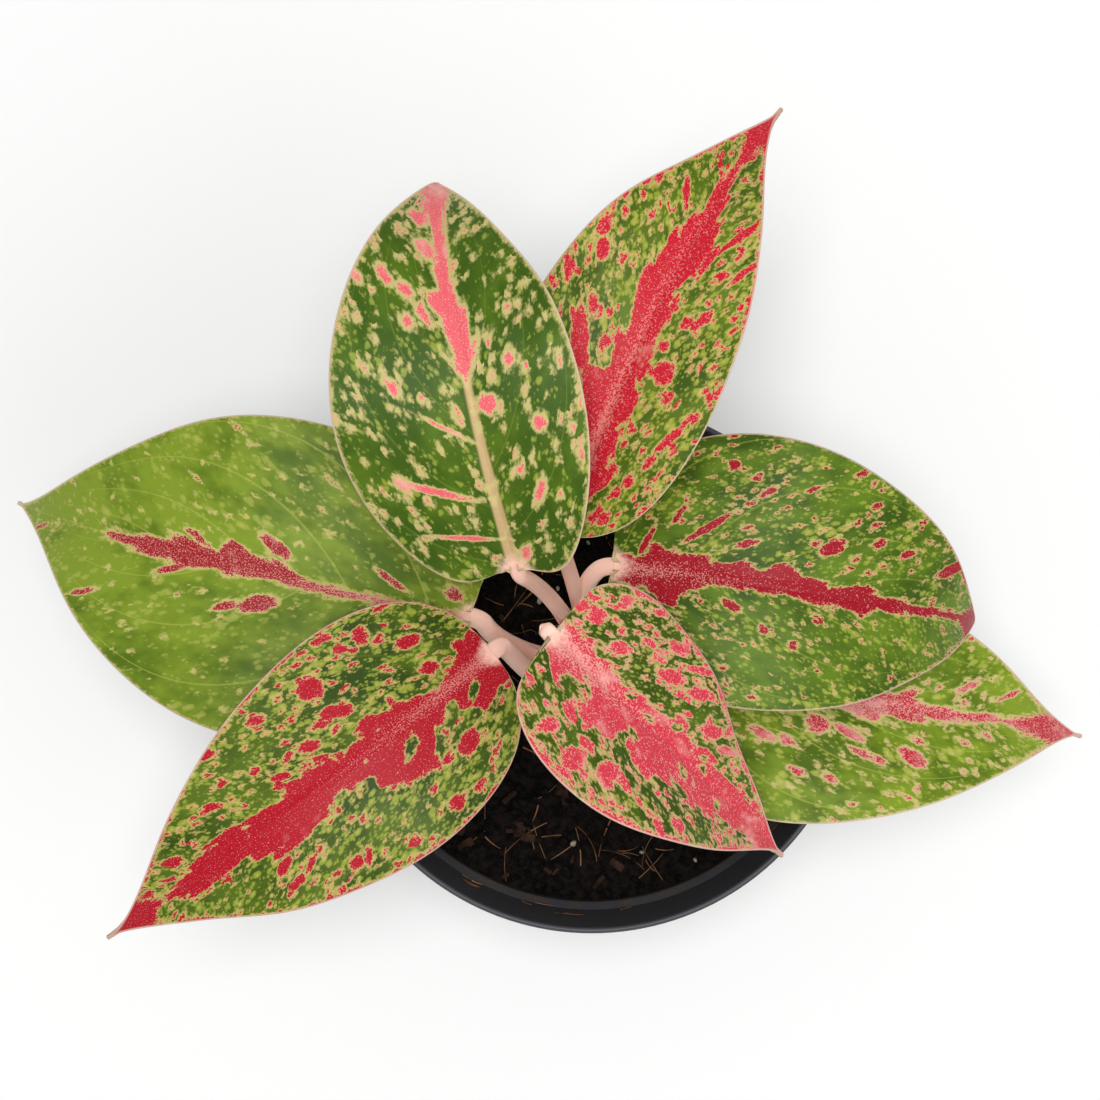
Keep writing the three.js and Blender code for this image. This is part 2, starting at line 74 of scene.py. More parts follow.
HABITS = {
    "young_front": dict(
        base=(-11.2, 12.7, 216), length=102.8, half_width=30.2, heading=-44.4, sweep=-0.5,
        rise=-10.9, droop=-52.7, roll=-29.7, twist=-10.9, lobe=1.9, near_base=0.351,
        near_tip=1.182, uneven=-0.061, fold=12, camber=0.1, waves=2.5,
        start=111, leave=122, lean=4, arrive=(122, 80), stalk=2.1, bend=1.5,
    ),
    "back": dict(
        base=(-21.1, 28.9, 200), length=136.8, half_width=32.7, heading=106.6, sweep=-11.6,
        rise=40.5, droop=-86, roll=-15.1, twist=27.4, lobe=5.2, near_base=0.482,
        near_tip=0.823, uneven=0.113, fold=9, camber=0.1, waves=3,
        start=109, leave=112, lean=27, arrive=(154, 72), stalk=2.1,
    ),
    "back_right": dict(
        base=(-8.6, 38.1, 188), length=143.3, half_width=28.8, heading=72.9, sweep=-21.1,
        rise=24.4, droop=-52.5, roll=-9.4, twist=-0.7, lobe=-0.5, near_base=0.494,
        near_tip=0.86, uneven=0.065, fold=12, camber=0.1, waves=3.5,
        start=107, leave=100, lean=35, arrive=(107, 65), stalk=2.0,
    ),
    "front_left": dict(
        base=(-27.7, 6.3, 170), length=141.7, half_width=33.6, heading=-140.9, sweep=-4.7,
        rise=23.3, droop=-43.8, roll=0, twist=-16.9, lobe=-0.2, near_base=0.435,
        near_tip=0.996, uneven=-0.034, fold=12, camber=0.1, waves=3.5,
        start=106, leave=200, lean=47, arrive=(140, 74), stalk=2.5,
    ),
    "right": dict(
        base=(5.1, 29.5, 166), length=135.2, half_width=37.6, heading=-6.3, sweep=-6.4,
        rise=25.6, droop=-84.5, roll=-4.1, twist=4.2, lobe=5.8, near_base=0.379,
        near_tip=0.887, uneven=0.091, fold=8, camber=0.12, waves=3,
        start=105, leave=38, lean=30, arrive=(42, 42), stalk=2.4,
    ),
    "left": dict(
        base=(-34.2, 15.3, 152), length=158.8, half_width=45.5, heading=169.4, sweep=-6.6,
        rise=17.5, droop=-64.4, roll=3.4, twist=-2.7, lobe=5.9, near_base=0.48,
        near_tip=0.844, uneven=0.011, fold=9, camber=0.1, waves=3,
        start=103, leave=157, lean=41, arrive=(122, 56), stalk=2.7,
    ),
    "low_right": dict(
        base=(19.2, -8.1, 124), length=141.1, half_width=37.2, heading=1.4, sweep=-15.6,
        rise=20.5, droop=-54.8, roll=-7.1, twist=-11.5, lobe=4.5, near_base=0.467,
        near_tip=1.052, uneven=0.034, fold=10, camber=0.1, waves=3,
        start=101, leave=-22, lean=44, arrive=(-8, 26), stalk=2.5,
    ),
}

# The red and pink of each leaf, in millimetres from its base.
# flame is the band along the midrib: (along, reach to the left, reach to the right).
# spots are blotches beside it: (along, across, half length, half width), left being positive, and
# a lean in degrees where it isn't the usual one, along the veins.
# islands are places inside the flame that stay green, in the same form.

MARKINGS = {
    "left": dict(
        flame=[
            (0, 0.4, 0.4), (24, 0.9, 0.5), (44, 1.8, 1.2), (54, 0.9, 3), (62, 1.2, 6), (69, 2.2, 7.5),
            (73, 1.6, 3.4), (82, 2.8, 4.4), (90, 2.6, 3),
            (99, 1.8, 1.6), (108, 0.3, 0.3), (112, -1, -1),
        ],
        spots=[
            (58, 8.5, 5, 2.2), (67, 11, 3.5, 1.1), (5.5, -5.5, 2.8, 1.6), (24, -6, 5.5, 0.9),
            (57, -8.5, 5.5, 1.6), (109, 17.5, 4.5, 0.8), (45, -29, 2.2, 0.6), (84, -22, 2.5, 0.5),
            (84, 4.4, 5, 0.9), (79, -5.8, 4, 1), (137, 4, 3, 0.7), (75, -38, 2, 0.5),
        ],
        islands=[],
    ),
    "front_left": dict(
        flame=[
            (0, 8, 8), (6, 10, 8), (14, 10, 2.6),
            (18, 5, 2), (26, 6, 3), (31, 13, 5.5), (37, 14.5, 8.5),
            (44, 12, 6), (49, 4.8, 3), (58, 5, 8),
            (64, 8.5, 7), (71, 10, 4), (82, 7.5, 5), (87, 3.6, 6.8),
            (98, 3.4, 5), (106, 4, 2.4), (110, 2, 2),
            (114, 0.4, 0.4), (119, 1, 3), (127, 9, 9), (142, 9, 9),
        ],
        spots=[
            (17, -7.5, 3, 2.2), (18, -17, 4, 2),
            (44, -14, 4.5, 1.8), (46, -23.5, 3.6, 3.2), (55, -11, 3, 1.8),
            (66, -9, 3, 1.3), (85, -14, 2.6, 0.9),
            (32, 13, 2, 2.4), (21, 15, 3.4, 2.6), (17, 21.5, 3, 0.9),
            (34, 25, 2, 1.1), (80, 11, 3.6, 1.4),
            (27, -26, 2.2, 2), (64, 22, 2, 1.2), (74, 15, 3.4, 0.9),
        ],
        islands=[(34, 7, 2.6, 2.2), (20, 6, 4.4, 1.9), (11, 5.4, 2, 0.9)],
    ),
    "back": dict(
        flame=[
            (0, -2, -2), (52, -1, -1), (58, 1.6, 1.6), (64, 2.4, 4), (71, 2.8, 3), (79, 2.6, 0.6),
            (90, 2.2, 1), (99, 2, 0.6), (104, 3, 1), (110, 5, 2), (118, 4, 3), (137, 4, 3),
        ],
        spots=[
            (75, 2.6, 3.8, 2.4), (92, 5, 3.4, 1.6),
            (103, 5, 3.4, 2), (48, -4, 2, 2.2), (73, 7.5, 2.6, 1),
            (57, 19, 2.6, 1.1), (32, 22, 2, 1.1),
            (72, 12, 2, 1), (85, 16, 2.4, 0.9), (87, 24, 2.4, 0.9),
            (23, -12, 3, 1.1), (41, -16, 1.8, 1.3),
            (58, -12, 2, 1.1), (5, -4, 2.2, 1), (80, 11, 2.2, 1.4),
            (28, 14, 8, 0.9, 62), (44, 8, 5, 0.5, 52), (13, 10, 8, 0.6, 74),
        ],
        islands=[],
    ),
    "back_right": dict(
        flame=[
            (0, 4, 3), (10, 5, 3), (18, 6, 8), (27, 6, 5), (38, 9, 7), (43, 9, 6), (47, 4.4, 4),
            (56, 5.4, 4.4), (66, 5, 5), (72, 7, 4), (82, 6, 7.4), (88, 3.6, 6), (96, 1.4, 3.8),
            (106, 1.6, 1.4), (112, 1, 1), (122, 2, 2), (130, 9, 9), (144, 9, 9),
        ],
        spots=[
            (50, 14, 7.5, 2.6), (73, 19.5, 3, 1.8),
            (65, 25.5, 3, 0.9), (51, -9.8, 3, 2.6), (57, -6.5, 1.8, 1.3),
            (36, -18.5, 5.5, 1.1), (28, -16, 2.6, 1.1), (21, -12.5, 2.4, 1.6), (92, -11.5, 6.5, 1.1),
            (84, -17.5, 5.5, 0.9), (97, 7.5, 5.5, 1),
            (65, -12, 1.4, 1.6), (9, -9.5, 2, 1.1), (59, 15, 3, 1.4),
        ],
        islands=[(46, 7.6, 2.2, 2)],
    ),
    "right": dict(
        flame=[
            (0, 4, 3), (6, 3, 4), (11, 8.5, 6),
            (15, 5, 8.4), (19, 6, 8), (23, 5.4, 3.4), (32, 4.6, 1.6),
            (41, 5, 2), (46, 7, 1.4), (52, 4, 2.4),
            (59, 2.4, 3), (68, 4.4, 3.8), (76, 2, 1.8), (90, 1.2, 1),
            (103, 1.6, 0.5), (110, 1, 0.6), (118, 4, 6), (136, 4, 6),
        ],
        spots=[
            (26, 14, 8, 0.9, 38), (35, 21, 2, 0.7, 38), (40, 25, 2.6, 0.9, 35), (9, 8, 5, 0.9, 65),
            (30, 31, 1.4, 1.8), (52, 28, 3.4, 0.7), (17, 16, 3, 0.8, 60),
            (59, 13, 3.6, 1.9), (72, 16, 2, 1.1),
            (81, 14.5, 2.8, 1), (36, 10.5, 3, 0.9), (64, 34, 2.6, 0.8),
            (70, 26, 1.8, 0.9), (100, 13.5, 8, 1.6),
            (34, -6.5, 2.6, 1), (44, -12, 1.4, 1), (52, -15, 1.2, 0.8),
        ],
        islands=[(7, 5, 1.6, 1.2), (28, 5.6, 2, 0.9)],
    ),
    "low_right": dict(
        flame=[
            (0, -1, 0), (44, 0, 2), (52, 1, 1.4),
            (60, 3, 3.4), (66, 4, 3.8), (74, 2.4, 2.6), (80, 1.6, 2.2),
            (90, 1, 1.4), (97, 1.6, 0.8), (104, 1.2, 0.4), (110, 2.4, 2.4), (122, 5, 4), (141, 5, 4),
        ],
        spots=[
            (31, -10.5, 3.4, 1.4), (38, -12, 2.2, 1),
            (46, -6.5, 3.4, 2.2), (55, -8.5, 4, 1.3), (58, -14, 3, 0.9),
            (64, -16, 1.8, 0.9), (73, -14, 4, 2.2),
            (75, -9, 1.8, 0.8), (50, -22, 1.6, 0.9), (72, -26, 1.8, 0.6),
            (90, 8.6, 4, 0.9), (105, 8, 4.4, 0.8),
            (70, 3.4, 5, 1.4), (41, -21, 2, 0.9), (89, -8, 1.6, 0.7),
        ],
        islands=[],
    ),
    "young_front": dict(
        flame=[
            (0, 4, 4), (7, 5, 9), (14, 3, 8), (20, 4, 14), (26, 4, 12), (31, 5, 8), (36, 5, 12),
            (41, 6, 13), (46, 7, 10), (51, 4.4, 8), (56, 7, 9), (62, 5, 8), (70, 6, 6), (78, 4, 4),
            (88, 5, 6), (103, 12, 12),
        ],
        spots=[
            (6, 13, 2.6, 1.6), (16, 10, 2.8, 1.6),
            (10, 21, 2, 1.6), (33, 14.5, 5, 1.8), (44, 17, 3.6, 1.8),
            (40, 22, 6, 1.1), (54, 12, 4, 1.6), (22, -24, 3, 4), (31, -20, 2.4, 4), (62, 11, 4, 1.1),
            (30, 23, 3.4, 1), (12, -22, 2, 3), (20, 26, 3, 0.8), (27, 18, 2.4, 0.9),
        ],
        islands=[(13, -8, 4, 4.4), (31, -7.5, 2, 3), (24, 8, 2.4, 1.6), (48, -14, 4, 2.4), (56, 5, 2, 1)],
    ),
}

# Green, cream, red and pink of each leaf, and how thickly they are strewn.
# scatter and holes run from 0, none, to 1, all over; speckle is above 0 for more specks, below for fewer.
# Sizes, widths, halo, margin_red and flush_reach are in millimetres; margin_from, midrib_end and
# pale_reach are shares of the blade's length; the rest are strengths.

LOOKS = {
    "left": dict(
        deep=(0.080, 0.145, 0.007), fresh=(0.220, 0.310, 0.024), speck=(0.400, 0.440, 0.080),
        flame=(0.340, 0.012, 0.020), blush=(0.760, 0.340, 0.280), cream=(0.580, 0.500, 0.170),
        ripen=0.24, speckle=-0.04, speck_size=3.0, speck_strength=0.55, scatter=0.03, scatter_size=7.0,
        holes=0.0, halo=1.0, margin_red=0.4, margin_from=0.85, blushing=-0.12, grain=0.09,
        midrib_tint=(0.560, 0.300, 0.170), midrib_width=0.7, midrib_end=0.6,
        pale_reach=0.5, pale_width=2.5, flush_reach=7.5, vein_show=0.5,
    ),
    "front_left": dict(
        deep=(0.030, 0.062, 0.005), fresh=(0.090, 0.145, 0.010), speck=(0.290, 0.350, 0.040),
        flame=(0.430, 0.006, 0.018), blush=(0.760, 0.290, 0.260), cream=(0.560, 0.440, 0.140),
        ripen=0.16, speckle=0.2, speck_size=2.1, speck_strength=0.85, scatter=0.38, scatter_size=5.2,
        holes=0.16, halo=0.7, margin_red=0.8, margin_from=0.0, blushing=-0.16, grain=0.015,
        midrib_tint=(0.820, 0.420, 0.390), midrib_width=0.6, midrib_end=0.3,
        pale_reach=0.55, pale_width=3.6, flush_reach=8.0, vein_show=0.15,
    ),
    "back": dict(
        deep=(0.044, 0.098, 0.005), fresh=(0.095, 0.170, 0.009), speck=(0.310, 0.370, 0.050),
        flame=(0.800, 0.120, 0.145), blush=(0.850, 0.460, 0.350), cream=(0.620, 0.520, 0.200),
        ripen=0.00, speckle=-0.1, speck_size=2.8, speck_strength=0.75, scatter=0.17, scatter_size=6.0,
        holes=0.0, halo=1.5, margin_red=0.5, margin_from=0.75, blushing=0.0, grain=0.05,
        midrib_tint=(0.680, 0.460, 0.240), midrib_width=1.5, midrib_end=0.85,
        pale_reach=0.5, pale_width=4.0, flush_reach=9.0, vein_show=0.2,
    ),
    "back_right": dict(
        deep=(0.046, 0.090, 0.006), fresh=(0.115, 0.180, 0.012), speck=(0.330, 0.370, 0.040),
        flame=(0.560, 0.010, 0.026), blush=(0.780, 0.260, 0.220), cream=(0.600, 0.460, 0.150),
        ripen=0.12, speckle=0.2, speck_size=2.1, speck_strength=0.85, scatter=0.46, scatter_size=5.0,
        holes=0.18, halo=0.7, margin_red=0.9, margin_from=0.40, blushing=-0.14, grain=0.05,
        midrib_tint=(0.760, 0.200, 0.210), midrib_width=0.7, midrib_end=0.2,
        pale_reach=0.9, pale_width=3.0, flush_reach=8.0, vein_show=0.1,
    ),
    "right": dict(
        deep=(0.040, 0.085, 0.005), fresh=(0.120, 0.205, 0.012), speck=(0.330, 0.390, 0.045),
        flame=(0.340, 0.006, 0.016), blush=(0.740, 0.320, 0.280), cream=(0.580, 0.450, 0.160),
        ripen=0.16, speckle=0.02, speck_size=2.2, speck_strength=0.70, scatter=0.20, scatter_size=4.6,
        holes=0.10, halo=0.65, margin_red=0.8, margin_from=0.62, blushing=-0.16, grain=0.01,
        midrib_tint=(0.820, 0.480, 0.440), midrib_width=0.5, midrib_end=0.24,
        pale_reach=0.42, pale_width=4.0, flush_reach=9.5, vein_show=0.4,
    ),
    "low_right": dict(
        deep=(0.075, 0.135, 0.006), fresh=(0.220, 0.320, 0.020), speck=(0.440, 0.480, 0.080),
        flame=(0.520, 0.025, 0.045), blush=(0.800, 0.400, 0.350), cream=(0.640, 0.520, 0.210),
        ripen=0.16, speckle=-0.02, speck_size=2.8, speck_strength=0.65, scatter=0.16, scatter_size=5.5,
        holes=0.0, halo=1.1, margin_red=0.5, margin_from=0.7, blushing=0.00, grain=0.09,
        midrib_tint=(0.700, 0.360, 0.280), midrib_width=0.7, midrib_end=0.4,
        pale_reach=0.9, pale_width=4.0, flush_reach=8.0, vein_show=0.45,
    ),
    "young_front": dict(
        deep=(0.038, 0.075, 0.004), fresh=(0.085, 0.150, 0.008), speck=(0.380, 0.370, 0.070),
        flame=(0.640, 0.040, 0.065), blush=(0.860, 0.400, 0.360), cream=(0.640, 0.450, 0.190),
        ripen=0.00, speckle=0.0, speck_size=1.9, speck_strength=0.80, scatter=0.52, scatter_size=4.6,
        holes=0.42, halo=0.75, margin_red=1.3, margin_from=0.0, blushing=-0.04, grain=0.06,
        midrib_tint=(0.830, 0.360, 0.350), midrib_width=0.9, midrib_end=0.16,
        pale_reach=0.45, pale_width=6.0, flush_reach=8.0, vein_show=0.1,
    ),
}

# Shape of every blade, lengths in millimetres
MIDRIB_STEPS = 200
SLOPE_POWER = 1.3
TIP_WIDTH = 4.2
TIP_TAPER = 1.7
TIP_HALF_WIDTH = 0.5
LOBE_PLACE = 0.035
SOFT_CREASE = 3.0
CAD_THICKNESS = 0.75
THIN_MARGIN = 2.5
BASE_REACH = 5.0
KEEL_HALF_WIDTH = 1.8
KEEL_DEPTH = 1.9
KEEL_FADE = 0.8

# Course and relief of its veins
VEIN_SLANT = 0.05
VEIN_BEND = 1.5
VEIN_SPREAD = 0.97
VEIN_SETBACK = 0.1
VEIN_SWEEP = 0.6
PUFF_START = 5.0
PUFF_LEVEL = 0.6
CALM_MARGIN = 0.25
GROOVE_HALF_WIDTH = 1.1
GROOVE_FADE = 0.85

# Shape of every petiole, lengths in millimetres
CROWN = (1.0, -3.0)
FIT_GAP = 0.3
BEND_REACH = 3.2
BEND_SHARE = 0.9
LEAVE_PULL = 0.38
ARRIVE_PULL = 0.3
ROOT_OVERLAP = 0.4
PETIOLE_SWELL = 0.4
SHEATH_SWELL = 1.8
SHEATH_SHARE = 0.5
PETIOLE_FLATNESS = 0.86
END_FLATNESS = 0.52
END_START = 0.84
CHANNEL_DEPTH = 0.28
CHANNEL_SPREAD = 0.5
CHANNEL_END = 0.7

# Lean of the blotches in degrees, and how far the flame's edge runs out along the veins
BLOTCH_LEAN = 25.0
FINGER_SHARE = 0.14

# Mesh: sides and rings, and powers that crowd rows near the blade's ends and the petiole's end
POT_SIDES = 160
MIX_SIDES = 220
CANE_SIDES = 48
PETIOLE_SIDES = 28
PETIOLE_RINGS = 80
SHARP_ANGLE = math.radians(32)
BASE_ROWS = 1.25
TIP_ROWS = 1.1
END_RINGS = 1.5

# The flesh of the petioles, which runs on to the blades, and the blades' pale rim
FLESH = (0.970, 0.600, 0.490)
RIM_TINT = (0.72, 0.56, 0.44)


# Sizes and colours that a user would change


def length(name, description, default):
    return FloatProperty(name=name, description=description, default=default, unit="LENGTH")


def tinted(name, description, default):
    return FloatVectorProperty(name=name, description=description, default=default, subtype="COLOR")


def count(name, description, default, least=0):
    return IntProperty(name=name, description=description, default=default, min=least)


class PotSizes(bpy.types.PropertyGroup):
    rim_radius: length("Rim radius", "Outer radius at the lip", POT_HIGH.x)
    height: length("Height", "Foot to lip", POT_HIGH.z)
    foot_radius: length("Foot radius", "Outer radius at the foot", 0.055)
    wall: length("Wall", "Thickness of the wall", 0.0018)
    floor: length("Floor", "Thickness of the floor", 0.0026)
    collar_height: length("Collar height", "Height of the band below the lip", 0.019)
    collar_flare: length("Collar flare", "How far the band opens upwards", 0.0028)
    shoulder: length("Shoulder", "Step in under the collar", 0.002)
    drain_holes: count("Drain holes", "Holes in the floor", 8, 3)
    drain_hole_radius: length("Drain hole radius", "Radius of one hole", 0.004)
    drain_ring_radius: length("Drain ring radius", "Radius of the ring of holes", 0.042)
    tint: tinted("Plastic", "Colour of the pot", (0.036, 0.037, 0.045))
    dust: tinted("Dust", "Colour of the dusty inside", (0.075, 0.052, 0.036))


class MixSizes(bpy.types.PropertyGroup):
    top: length("Top", "Height of the potting mix", 0.096)
    relief: length("Relief", "Height of its humps", 0.0011)
    crumbs: count("Crumbs", "Loose crumbs on top", 2600)
    chips: count("Bark chips", "Chips of bark on top", 120)
    fibres: count("Fibres", "Coir fibres on top", 210)
    clinging: count("Clinging fibres", "Coir fibres on the wall", 34)
    grains: count("Pale grains", "Pale grit on top", 26)
    seed: count("Seed", "Changes how the bits fall", 41)
    earth: tinted("Earth", "Colour of the mix", (0.0028, 0.0018, 0.0015))
    bark: tinted("Bark", "Colour of the chips", (0.021, 0.010, 0.007))
    coir: tinted("Coir", "Colour of the fibres", (0.135, 0.064, 0.030))


class StalkSizes(bpy.types.PropertyGroup):
    cane_radius: length("Cane radius", "Radius of the short stem", 0.0066)
    scar_spacing: length("Scar spacing", "Height between leaf scars", 0.004)
    scar_ridge: length("Scar ridge", "How far a leaf scar stands out", 0.00045)
    pale: tinted("Pale", "Colour of their whiter streaks", (0.980, 0.720, 0.620))
    greenish: tinted("Green", "Colour of the blotches near the foot", (0.280, 0.260, 0.090))
    flush: tinted("Flush", "Colour of their flushed patches", (0.560, 0.060, 0.110))
    cane_tint: tinted("Cane", "Colour of the short stem", (0.300, 0.180, 0.100))


class BladeSizes(bpy.types.PropertyGroup):
    thickness: length("Thickness", "Thickness of a blade", 0.0007)
    edge_thickness: length("Edge thickness", "Thickness at the margin", 0.0004)
    edge_wave: length("Edge wave", "Height of the waves of the margin", 0.0009)
    vein_sink: length("Vein depth", "How deep the side veins lie", 0.00035)
    midrib_sink: length("Midrib depth", "How deep the midrib lies", 0.0008)
    side_veins: count("Side veins", "Strong veins on each half", 6, 2)
    rows: count("Rows", "Mesh rows along a blade", 190, 20)
    columns: count("Columns", "Mesh columns across a blade", 88, 8)


class StageSizes(bpy.types.PropertyGroup):
    floor_size: length("Floor size", "Side of the floor", 6.0)
    floor_tint: tinted("Floor", "Colour of the floor", (0.97, 0.97, 0.97))
    camera_place: FloatVectorProperty(
        name="Camera", description="Where the camera is",
        default=(-0.0121, 0.0338, 0.915), subtype="XYZ"
    )
    camera_lens: FloatProperty(
        name="Lens", description="Focal length of the camera", default=90.3, unit="CAMERA"
    )
    lamp_power: FloatProperty(
        name="Lamp power", description="Power of the large lamp", default=24.5, unit="POWER"
    )
    sky: FloatProperty(
        name="Sky", description="Strength of the even light", default=0.46, subtype="FACTOR"
    )


# Meshes


def mesh_of(name, bm):
    mesh = bpy.data.meshes.new(name)
    bm.to_mesh(mesh)
    bm.free()
    return mesh


def add_object(name, data):
    thing = bpy.data.objects.new(name, data)
    bpy.context.scene.collection.objects.link(thing)
    return thing


def new_piece(name, bm, material, replaced):
    """Makes an object of a bmesh, rides it on the plant's body and hides the imported part that it stands
    for.
    """
    piece = add_object(name, mesh_of(name, bm))
    piece.data.materials.append(material)
    piece.data.shade_smooth()
    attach(piece, BODY)
    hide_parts(replaced)
    return piece


def read_points(mesh):
    points = np.empty(len(mesh.vertices) * 3, np.float32)
    mesh.vertices.foreach_get("co", points)
    return points.reshape(-1, 3).astype(float)


def write_points(mesh, points):
    mesh.vertices.foreach_set("co", points.astype(np.float32).ravel())
    mesh.update()


def write_attribute(mesh, name, first, second, third):
    """Three values for each vertex, which a material reads by name."""
    values = np.column_stack([first, second, third]).astype(np.float32)
    attribute = mesh.attributes.new(name, "FLOAT_VECTOR", "POINT")
    attribute.data.foreach_set("vector", values.ravel())


def spun_shell(profile, sides, centre=(0.0, 0.0)):
    """A closed body of revolution round the upright through centre, from (radius, height) points."""
    weld_reach = 1e-6
    bm = bmesh.new()
    ring = [bm.verts.new((radius, 0.0, height)) for radius, height in profile]
    edges = [bm.edges.new(pair) for pair in zip(ring, ring[1:])]
    bmesh.ops.spin(
        bm, geom=ring + edges, cent=(0, 0, 0), axis=(0, 0, 1), steps=sides,
        angle=2 * math.pi, use_merge=True
    )
    bmesh.ops.remove_doubles(bm, verts=bm.verts, dist=weld_reach)
    bmesh.ops.recalc_face_normals(bm, faces=bm.faces)
    bmesh.ops.translate(bm, verts=bm.verts, vec=(centre[0], centre[1], 0.0))
    return bm


def smooth_share(value):
    """0 below 0, 1 above 1, and an even curve between."""
    inside = np.clip(value, 0, 1)
    return inside * inside * (3 - 2 * inside)


# Materials


class Finish:
    """Writes one procedural material node by node."""

    def __init__(self, name):
        self.material = bpy.data.materials.new(name)
        self.material.use_nodes = True
        self.nodes = self.material.node_tree.nodes
        self.links = self.material.node_tree.links
        self.nodes.clear()

    def put(self, kind, inputs, **settings):
        node = self.nodes.new(kind)
        for key, value in settings.items():
            setattr(node, key, value)
        for key, value in inputs.items():
            if isinstance(value, bpy.types.NodeSocket):
                self.links.new(value, node.inputs[key])
            else:
                node.inputs[key].default_value = value
        return node

    def math(self, operation, first, second=0.0):
        return self.put("ShaderNodeMath", {0: first, 1: second}, operation=operation).outputs[0]

    def chain(self, operation, values):
        result = values[0]
        for value in values[1:]:
            result = self.math(operation, result, value)
        return result

    def plus(self, *values):
        return self.chain("ADD", values)

    def times(self, *values):
        return self.chain("MULTIPLY", values)

    def minus(self, first, second):
        return self.math("SUBTRACT", first, second)

    def most(self, *values):
        return self.chain("MAXIMUM", values)

    def vector(self, operation, inputs):
        return self.put("ShaderNodeVectorMath", inputs, operation=operation).outputs[0]

    def parts(self, vector):
        return list(self.put("ShaderNodeSeparateXYZ", {0: vector}).outputs)

    def cells(self, place, size):
        """Distance from the heart of the nearest cell, in cells, and a random number for that cell."""
        inputs = {"Vector": place, "Scale": 1 / size}
        node = self.put("ShaderNodeTexVoronoi", inputs, voronoi_dimensions="2D")
        return node.outputs["Distance"], self.parts(node.outputs["Color"])[0]

    def warp(self, place, size, reach):
        """Moves a place about a little, so that round cells come out irregular."""
        inputs = {"Vector": place, "Scale": 1 / size, "Detail": 2.0}
        wander = self.put("ShaderNodeTexNoise", inputs).outputs["Color"]
        centred = self.vector("SUBTRACT", {0: wander, 1: (0.5, 0.5, 0.5)})
        shift = self.vector("SCALE", {0: centred, "Scale": reach})
        return self.vector("ADD", {0: place, 1: shift})

    def moved(self, place, shift):
        return self.vector("ADD", {0: place, 1: (shift, shift, 0.0)})

    def ramp(self, value, low, high):
        """An even curve from 0 at low to 1 at high."""
        ends = {"Value": value, "From Min": low, "From Max": high}
        return self.put("ShaderNodeMapRange", ends, interpolation_type="SMOOTHSTEP").outputs[0]

    def blend(self, share, under, over):
        colours = [c if isinstance(c, bpy.types.NodeSocket) else (*c, 1.0) for c in (under, over)]
        inputs = {0: share, 6: colours[0], 7: colours[1]}
        return self.put("ShaderNodeMix", inputs, data_type="RGBA").outputs[2]

    def noise(self, place, size, detail=2.0, roughness=0.5):
        """Noise between 0 and 1 whose lumps measure about size."""
        inputs = {"Vector": place, "Scale": 1 / size, "Detail": detail, "Roughness": roughness}
        return self.put("ShaderNodeTexNoise", inputs).outputs[0]

    def attribute(self, name):
        vector = self.put("ShaderNodeAttribute", {}, attribute_name=name).outputs["Vector"]
        return self.parts(vector)

    def combine(self, x, y, z):
        return self.put("ShaderNodeCombineXYZ", {0: x, 1: y, 2: z}).outputs[0]

    def object_place(self):
        return self.put("ShaderNodeTexCoord", {}).outputs["Object"]

    def finish(self, colour, roughness, specular=0.5, bump=None, bump_depth=0.0):
        inputs = {"Base Color": colour, "Roughness": roughness, "Specular IOR Level": specular}
        shader = self.put("ShaderNodeBsdfPrincipled", inputs)
        if bump is not None:
            relief = self.put("ShaderNodeBump", {"Height": bump, "Distance": bump_depth, "Strength": 1.0})
            self.links.new(relief.outputs[0], shader.inputs["Normal"])
        self.put("ShaderNodeOutputMaterial", {"Surface": shader.outputs[0]})
        return self.material


def plastic_finish(pot, mix):
    """Charcoal plastic, dusty brown on the inside near the potting mix."""
    blotch_size, cloud_size, grain_size = 0.006, 0.03, 0.0009
    dust_share, cloud_light = 0.85, 1.5
    foot, full, head = mix.top - 0.006, mix.top - 0.002, mix.top + 0.018
    skin = Finish("pot_plastic")
    place = skin.object_place()
    x, y, z = skin.parts(place)
    radius = skin.math("SQRT", skin.plus(skin.times(x, x), skin.times(y, y)))
    middle = [0.5 * (inner_radius(pot, height) + outer_radius(pot, height)) for height in (foot, head)]
    slope = (middle[1] - middle[0]) / (head - foot)
    limit = skin.plus(skin.times(z, slope), middle[0] - slope * foot)
    inside = skin.times(skin.math("LESS_THAN", radius, limit), skin.math("GREATER_THAN", z, foot))
    blotches = skin.ramp(skin.noise(place, blotch_size, 4.0, 0.6), 0.35, 0.7)
    dusty = skin.times(skin.ramp(z, head, full), inside, blotches, dust_share)
    light = [cloud_light * c for c in pot.tint]
    shade = skin.blend(skin.noise(place, cloud_size, 3.0), pot.tint, light)
    grain = skin.noise(place, grain_size, 3.0)
    colour = skin.blend(dusty, shade, pot.dust)
    return skin.finish(colour, roughness=0.5, bump=grain, bump_depth=0.00003)


def crumbly_finish(name, tint, contrast, size):
    """Matt, crumbly stuff whose colour wanders about tint."""
    skin = Finish(name)
    place = skin.object_place()
    dark = [c / contrast for c in tint]
    light = [c * contrast for c in tint]
    colour = skin.blend(skin.ramp(skin.noise(place, size, 3.0, 0.6), 0.35, 0.68), dark, light)
    rough = skin.noise(place, size / 4, 4.0, 0.7)
    return skin.finish(colour, roughness=0.9, specular=0.12, bump=rough, bump_depth=0.0004)


def cane_finish(stalk):
    blotch_size, grain_size = 0.006, 0.0008
    green = (0.12, 0.13, 0.04)
    skin = Finish("stem")
    place = skin.object_place()
    greening = skin.ramp(skin.noise(place, blotch_size, 3.0), 0.4, 0.65)
    colour = skin.blend(greening, stalk.cane_tint, green)
    grain = skin.noise(place, grain_size, 3.0)
    return skin.finish(colour, roughness=0.6, bump=grain, bump_depth=0.0002)


